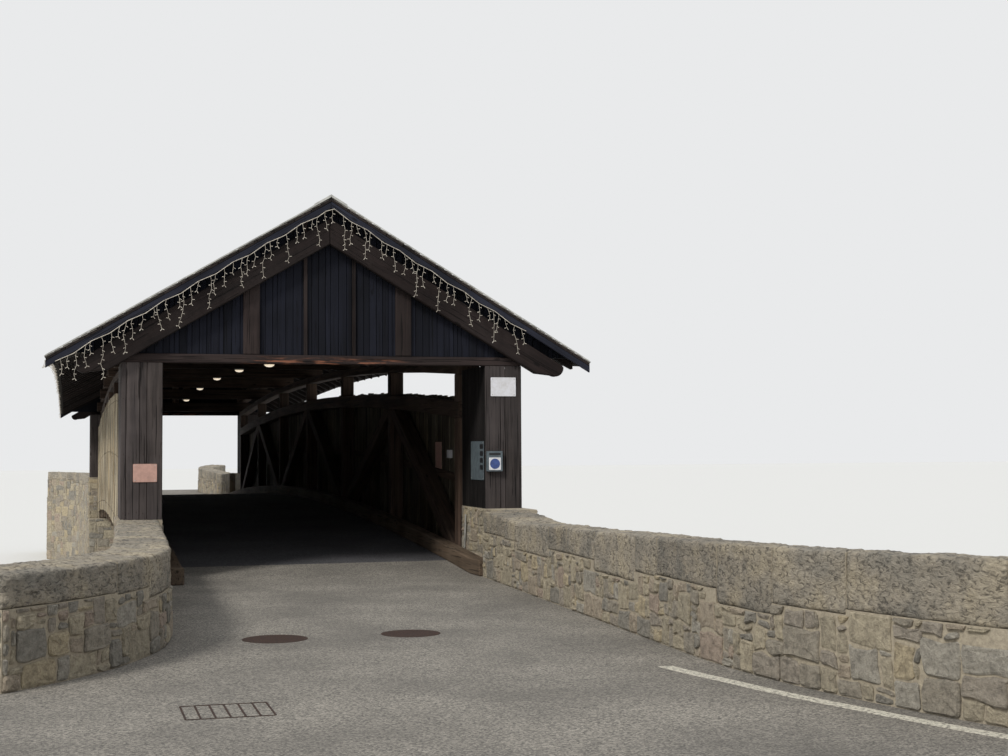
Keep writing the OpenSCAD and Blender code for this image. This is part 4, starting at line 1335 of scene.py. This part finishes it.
# A skin of mortar fills a joint to just under the blocks' rough faces.
def addPointing(store, wing, end, side, s0, s1, block):
    points, faces = store
    slack = copingBlocks["pointingSlack"]
    sink = copingBlocks["rough"] * copingBlocks["pointingSink"]
    low = max(bedLevel(block), bedLevel(block + 1)) + sink
    faces += boxFaces(len(points))
    for s in (s0 + slack, s1 - slack):
        for out, key in ((sink, "topIn"), (wing["thickness"] - sink, "topOut")):
            for z in (low, wingTop(wing, key, s) - sink):
                points.append(endPlace(end, side, *wingPoint(wing, s, out), road + z))


def makeCoping(end, seed):
    blocks, pointing = ([], [], []), ([], [])
    for side, first in ((1, seed), (-1, seed + 50)):
        wing = wings[sideName(side)]
        cuts = copingCuts(wing)
        for i in range(wing["blocks"]):
            gap = copingBlocks["joint"] if i < wing["blocks"] - 1 else 0
            addBlock(blocks, wing, end, side, cuts[i], cuts[i + 1] - gap, bedLevel(i), first + i)
            if gap:
                addPointing(pointing, wing, end, side, cuts[i + 1] - gap, cuts[i + 1], i)
    piece = stonePiece(end + "CopingBlocks", blocks, graniteBlock, [end + "_coping"])
    for face in piece.data.polygons:
        face.use_smooth = True
    name = end + "CopingPointing"
    placePiece(name, newMesh(name, *pointing), limeMortar)


makeCoping("near", 700)
makeCoping("far", 800)
print("coping laid")

# Nails in rows along the boarding rails, and in threes up each casing board.
nails = {"width": 0.0065, "height": 0.0018, "gap": 0.1, "railHeights": (-0.065, 0.56, 1.105),
         "boardStand": 0.0028, "alongSpread": 0.01, "upSpread": 0.008,
         "casingHeights": (0.05, 0.42, 0.8), "casingStand": 0.0012, "casingSpread": 0.012,
         "wideBoard": 0.06, "wideShares": (0.22, 0.78)}


# Each head is (place, way that it faces); the tree puts a low dome on it.
def makeHeadTree():
    tree, source = startTree("domedHeads", {"Head width": nails["width"],
                                            "Head height": nails["height"]})
    half = addNode(tree, "ShaderNodeMath", {"operation": "MULTIPLY"}, {1: 0.5},
                   {0: source["Head width"]})
    dome = addNode(tree, "GeometryNodeMeshUVSphere", values={"Segments": 6, "Rings": 3},
                   links={"Radius": half})
    flat = addNode(tree, "ShaderNodeMath", {"operation": "DIVIDE"},
                   links={0: source["Head height"], 1: half})
    scale = addNode(tree, "ShaderNodeCombineXYZ", values={"X": 1.0, "Y": 1.0}, links={"Z": flat})
    heads = addNode(tree, "GeometryNodeInstanceOnPoints",
                    links={"Points": source["Guide"], "Instance": dome,
                           "Rotation": pointTurn(tree, "headTurn"), "Scale": scale})
    return endTree(tree, source, heads)


headTree = makeHeadTree()


def headPiece(name, heads, width, height, material):
    guide = newMesh(name + "Guide", [h[0] for h in heads])
    turns = [a for h in heads for a in Vector(h[1]).to_track_quat("Z", "Y").to_euler()]
    pointLayer(guide, "headTurn", "FLOAT_VECTOR", turns)
    mesh = growMesh(name, guide, headTree,
                    {"Head width": width, "Head height": height, "Finish": material})
    return placePiece(name, mesh, None)


def makeNails(seed):
    rng = random.Random(seed)
    heads = []
    along, up, over = nails["alongSpread"], nails["upSpread"], nails["casingSpread"]
    for side in (1, -1):
        x = side * (sideBoards["inner"] + sideBoards["thickness"] + nails["boardStand"])
        y = trussRun[0] + nails["gap"] / 2
        while y < trussRun[1]:
            for height in nails["railHeights"]:
                heads.append(((x, y + rng.uniform(-along, along),
                               road + rise(y) + height + rng.uniform(-up, up)), (side, 0, 0)))
            y += nails["gap"]
    headPiece("boardingNails", heads, nails["width"], nails["height"], rustedIron)
    heads = []
    for side in (1, -1):
        x = bridge["clearWidth"] / 2
        for width in casingBoards["front"][side]:
            for share in nails["wideShares"] if width > nails["wideBoard"] else (0.5,):
                for height in nails["casingHeights"]:
                    z = road + wings[sideName(side)]["base"] + height + rng.uniform(-over, over)
                    for end, way in (("near", -1), ("far", 1)):
                        place = endPlace(end, side, x + share * width, -nails["casingStand"], z)
                        heads.append((place, (0, way, 0)))
            x += width
    headPiece("casingNails", heads, nails["width"], nails["height"], rustedIron)


makeNails(81)

# Plates: the middle of the back, the way they face, size, corner radius, thickness, finish.
# Those at the front stand on the casing boards, and two of them on the box.
casingFace, boxDepth = -0.0018, 0.032
boxFace = casingFace - boxDepth
plates = {
    "salmonPlate": ((-1.2115, casingFace, road + 0.7155), "front", (0.153, 0.119), 0.006, 0.004,
                    pinkEnamel),
    "whitePlate": ((1.231, casingFace, road + 1.294), "front", (0.182, 0.132), 0.004, 0.004,
                   whiteEnamel),
    "greyBox": ((1.159, casingFace, road + 0.774), "front", (0.111, 0.140), 0.003, boxDepth,
                greyEnamel),
    "boxSlot": ((1.159, boxFace, road + 0.824), "front", (0.082, 0.016), 0.002, 0.0008,
                blackEnamel),
    "smallPlate": ((1.159, boxFace, road + 0.7565), "front", (0.085, 0.087), 0.004, 0.003,
                   whiteEnamel),
    "greyBoard": ((1.0985, 0.204, road + 0.7775), "inward", (0.340, 0.273), 0.005, 0.004,
                  greyEnamel),
    "noticePlate": ((1.2145, 1.845, road + 0.806), "inward", (0.2, 0.222), 0.004, 0.005,
                    pinkEnamel),
    "switchBox": ((1.2145, 1.41, road + 0.82), "inward", (0.06, 0.064), 0.005, 0.034, whiteEnamel),
}
screwedPlates = ("salmonPlate", "whitePlate", "greyBoard", "noticePlate")
plateWork = {"ease": 0.0004, "cornerSteps": 3, "screwInset": 0.012, "screwWidth": 0.008,
             "screwHeight": 0.002}
# Plain marks lie on two plates: a disc, and four bars one under the other.
marks = {"thickness": 0.001, "discRadius": 0.036, "discSides": 28, "bars": 4, "bar": (0.085, 0.034),
         "barCorner": 0.013, "barY": 0.085, "topBar": 0.1, "barStep": 0.049}


def roundedOutline(width, height, radius):
    points = []
    for cx, cy, start in ((1, 1, 0), (-1, 1, 90), (-1, -1, 180), (1, -1, 270)):
        for k in range(plateWork["cornerSteps"] + 1):
            a = math.radians(start + 90 * k / plateWork["cornerSteps"])
            points.append((cx * (width / 2 - radius) + radius * math.cos(a),
                           cy * (height / 2 - radius) + radius * math.sin(a)))
    return points


# A slab from an outline, with its front edge eased. spot(u, v, d) gives a place d before its back.
def slabPiece(name, outline, spot, thickness, ease, material):
    n = len(outline)
    points = []
    for shrink, depth in ((0, 0), (0, thickness - ease), (ease, thickness)):
        for u, v in outline:
            share = 1 - shrink / math.hypot(u, v)
            points.append(spot(u * share, v * share, depth))
    faces = [tuple(range(n - 1, -1, -1))] + ringFaces(0, 3, n) + [tuple(range(2 * n, 3 * n))]
    return placePiece(name, newMesh(name, points, faces), material)


def plateSpot(middle, facing):
    if facing == "front":
        return lambda u, v, d: (middle[0] + u, middle[1] - d, middle[2] + v)
    return lambda u, v, d: (middle[0] - d, middle[1] - u, middle[2] + v)


def makePlates():
    screws = []
    ease, inset = plateWork["ease"], plateWork["screwInset"]
    for name, (middle, facing, (width, height), radius, thickness, finish) in plates.items():
        spot = plateSpot(middle, facing)
        slabPiece(name, roundedOutline(width, height, radius), spot, thickness, ease, finish)
        if name in screwedPlates:
            way = (0, -1, 0) if facing == "front" else (-1, 0, 0)
            screws += [(spot(u * (width / 2 - inset), v * (height / 2 - inset), thickness), way)
                       for u in (-1, 1) for v in (-1, 1)]
    headPiece("plateScrews", screws, plateWork["screwWidth"], plateWork["screwHeight"], zincSheet)
    x, y, z = plates["smallPlate"][0]
    slabPiece("plateDisc", circleOutline(marks["discRadius"], marks["discSides"]),
              plateSpot((x, y - plates["smallPlate"][4], z), "front"), marks["thickness"], ease,
              blueEnamel)
    x, y, z = plates["greyBoard"][0]
    for k in range(marks["bars"]):
        place = (x - plates["greyBoard"][4], marks["barY"], z + marks["topBar"] - marks["barStep"] * k)
        slabPiece(f"boardMark{k + 1}", roundedOutline(*marks["bar"], marks["barCorner"]),
                  plateSpot(place, "inward"), marks["thickness"], ease, blackEnamel)


makePlates()

# A galvanised conduit stands before the right pedestal, in two lengths with a socket.
conduit = {"top": (1.083, 0.485, road + 0.385), "foot": (1.083, 0.52, road + 0.09),
           "radius": 0.0065, "socketRadius": 0.0085, "socket": (0.55, 0.62), "sides": 14}


def makeConduit():
    top, foot = np.array(conduit["top"]), np.array(conduit["foot"])
    along = (foot - top) / np.linalg.norm(foot - top)
    across = np.cross(along, (1, 0, 0))
    out = np.cross(across, along)
    r, wide, n = conduit["radius"], conduit["socketRadius"], conduit["sides"]
    start, stop = conduit["socket"]
    profile = ((0, r), (start, r), (start, wide), (stop, wide), (stop, r), (1, r))
    points = []
    for share, radius in profile:
        points += [tuple(top + share * (foot - top) + u * across + v * out)
                   for u, v in circleOutline(radius, n)]
    faces = ringFaces(0, len(profile), n)
    faces += [tuple(range(n)), tuple(range(len(points) - n, len(points)))]
    placePiece("conduit", newMesh("conduit", points, faces), zincSheet)


makeConduit()

# Ceiling lamps: a shallow opal shade in a metal rim, both turned from a profile. Heights are
# down from the lamp's top, which stands just over the foot of the tie beam.
lamps = {"sides": 28, "stand": 0.003, "seam": -0.0102, "seamRadius": 0.046, "domeRadius": 0.045,
         "domeDepth": 0.0238, "domeTurns": range(12, 90, 13),
         "rim": ((0.044, 0.0), (0.048, -0.001), (0.048, -0.01156), (0.045, -0.01224),
                 (0.044, -0.0102))}


# Turns a profile of (radius, height) about an upright line, and says where its points begin.
def addTurned(store, profile, place, closed=False):
    points, faces = store
    first = len(points)
    x, y, z = place
    for radius, height in profile:
        points += [(x + u, y + v, z + height) for u, v in circleOutline(radius, lamps["sides"])]
    faces += ringFaces(first, len(profile), lamps["sides"], closed)
    return first


def makeLamps():
    n, seam = lamps["sides"], lamps["seam"]
    dome = [(lamps["seamRadius"], seam)]
    for turn in lamps["domeTurns"]:
        a = math.radians(turn)
        dome.append((lamps["domeRadius"] * math.cos(a), seam - lamps["domeDepth"] * math.sin(a)))
    shades, rims = ([], []), ([], [])
    half = bridge["timber"] / 2
    for bay in range(1, bridge["bays"]):
        y = firstPanel + bay * panel
        z = road + bridge["casingTop"] + lamps["stand"] + max(rise(y - half), rise(y), rise(y + half))
        addTurned(rims, lamps["rim"], (0, y, z), True)
        first = addTurned(shades, dome, (0, y, z))
        points, faces = shades
        last, low, high = len(points) - n, len(points), len(points) + 1
        points += [(0, y, z + seam - lamps["domeDepth"]), (0, y, z + seam)]
        for k in range(n):
            j = (k + 1) % n
            faces += [(last + k, last + j, low), (first + j, first + k, high)]
    for name, store, material in (("lampShades", shades, opalGlass), ("lampRims", rims, zincSheet)):
        placePiece(name, newMesh(name, *store), material, ["ceiling_lamps"])


makeLamps()

# A narrow zinc drip edge covers the ends of the shingles at both gables.
dripEdge = {"height": 0.005, "over": 0.003, "thickness": 0.0015, "ridgeGap": 0.001}


def makeDripEdges():
    points, faces = [], []
    drops = (-dripEdge["over"] * slopeLength, dripEdge["height"] * slopeLength)
    for y, way in ((roofStops[0], -1), (roofStops[-1], 1)):
        for side in (1, -1):
            faces += boxFaces(len(points))
            for x in (dripEdge["ridgeGap"], bridge["eaveX"]):
                for depth in (0.0, dripEdge["thickness"]):
                    for drop in drops:
                        points.append((side * x, y + way * depth, road + rise(y) + roofLine(x, drop)))
    placePiece("dripEdges", newMesh("dripEdges", points, faces), zincSheet)


makeDripEdges()

# Road marks: an edge line worn thin beside the right wall, two covers and a grate. The
# line's pairs give its distance out from the wall at places along it.
edgeLine = {"from": 4.2, "short": 0.08, "width": 0.06, "height": 0.0012, "sunk": 0.001, "steps": 40,
            "out": [(4.2, -0.225), (4.6, -0.17), (5.3, -0.12), (99, -0.1)]}
covers = {"leftCover": ((-0.776, -3.15), 0.15), "rightCover": ((-0.14, -3.15), 0.14)}
castings = {"coverSides": 36, "coverHeight": 0.0015, "ease": 0.0005}
grate = {"place": (-1.175, -4.98), "size": (0.29, 0.26), "bars": 7, "bar": 0.006, "height": 0.002}


def flatSpot(x, y):
    return lambda u, v, d: (x + u, y + v, road + d)


def makeEdgeLine():
    wing, half = wings["right"], edgeLine["width"] / 2
    run = wingLength(wing) - edgeLine["short"] - edgeLine["from"]
    foot, top = road - edgeLine["sunk"], road + edgeLine["height"]
    points = []
    for k in range(edgeLine["steps"] + 1):
        s = edgeLine["from"] + run * k / edgeLine["steps"]
        middle = between(edgeLine["out"], s)
        for out, z in ((-half, foot), (-half, top), (half, top), (half, foot)):
            points.append((*wingPoint(wing, s, middle + out), z))
    faces = ringFaces(0, edgeLine["steps"] + 1, 4)
    faces += [(0, 1, 2, 3), tuple(range(len(points) - 4, len(points)))]
    placePiece("edgeLine", newMesh("edgeLine", points, faces), roadPaint)


def makeCastings():
    ease = castings["ease"]
    for name, (place, radius) in covers.items():
        slabPiece(name, circleOutline(radius, castings["coverSides"]), flatSpot(*place),
                  castings["coverHeight"], ease, rustedIron)
    (x, y), (width, depth), bar = grate["place"], grate["size"], grate["bar"]
    strips = [(x, y - depth / 2, width, bar), (x, y + depth / 2, width, bar)]
    strips += [(x + width * (k / (grate["bars"] - 1) - 0.5), y, bar, depth)
               for k in range(grate["bars"])]
    for k, (cx, cy, w, d) in enumerate(strips):
        outline = [(w / 2, d / 2), (-w / 2, d / 2), (-w / 2, -d / 2), (w / 2, -d / 2)]
        slabPiece(f"grateBar{k + 1}", outline, flatSpot(cx, cy), grate["height"], ease, rustedIron)


makeEdgeLine()
makeCastings()
print("fittings placed")

# CAD nodes that stay: the walls' cores show as mortar between the stones.
staying = {"approaches": approachAsphalt, "carriageway": deckAsphalt, "gable_boards": gableLarch,
           "ridge_cap": zincSheet}
for end in ("near", "far"):
    staying |= {end + "_" + part: limeMortar for part in ("abutment", "right_wall", "left_wall")}
for node, material in staying.items():
    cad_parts[node].data.materials.clear()
    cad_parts[node].data.materials.append(material)

# Floor, backdrop and light. Turns are in degrees.
stage = {"half": 150, "floor": "#d9d9d6", "sky": "#f2f5fa", "skyStrength": 0.75,
         "backdrop": "#e9eaeb", "sunStrength": 2.3, "sunSpread": 12, "sunTurn": (48, 0, -52),
         "sunColour": (1.0, 0.97, 0.92)}


def makeFloor():
    half, z = stage["half"], cadLow.z
    mesh = bpy.data.meshes.new("floor")
    mesh.from_pydata([(-half, -half, z), (half, -half, z), (half, half, z), (-half, half, z)],
                     [], [(0, 1, 2, 3)])
    floor = addObject("floor", mesh)
    material, _, shader = newMaterial("paleFloor", 0.9)
    shader.inputs["Base Color"].default_value = toLinear(stage["floor"])
    mesh.materials.append(material)


# The camera and glossy faces see a pale backdrop; everything else is lit by a softer sky.
def makeWorld():
    world = bpy.data.worlds.new("studio")
    world.use_nodes = True
    bpy.context.scene.world = world
    tree = world.node_tree
    sky = tree.nodes["Background"]
    sky.inputs["Color"].default_value = toLinear(stage["sky"])
    sky.inputs["Strength"].default_value = stage["skyStrength"]
    backdrop = addNode(tree, "ShaderNodeBackground", values={"Color": toLinear(stage["backdrop"])})
    path = addNode(tree, "ShaderNodeLightPath")
    seen = addNode(tree, "ShaderNodeMath", {"operation": "MAXIMUM"},
                   links={0: path.outputs["Is Camera Ray"], 1: path.outputs["Is Glossy Ray"]})
    mix = addNode(tree, "ShaderNodeMixShader", links={0: seen, 1: sky, 2: backdrop})
    tree.links.new(mix.outputs[0], tree.nodes["World Output"].inputs["Surface"])


def makeSun():
    sun = bpy.data.lights.new("key", "SUN")
    sun.energy, sun.angle = stage["sunStrength"], math.radians(stage["sunSpread"])
    sun.color = stage["sunColour"]
    key = addObject("key", sun)
    key.rotation_euler = [math.radians(turn) for turn in stage["sunTurn"]]


makeFloor()
makeWorld()
makeSun()
bpy.context.scene.view_settings.view_transform = "Standard"
print("stage set")
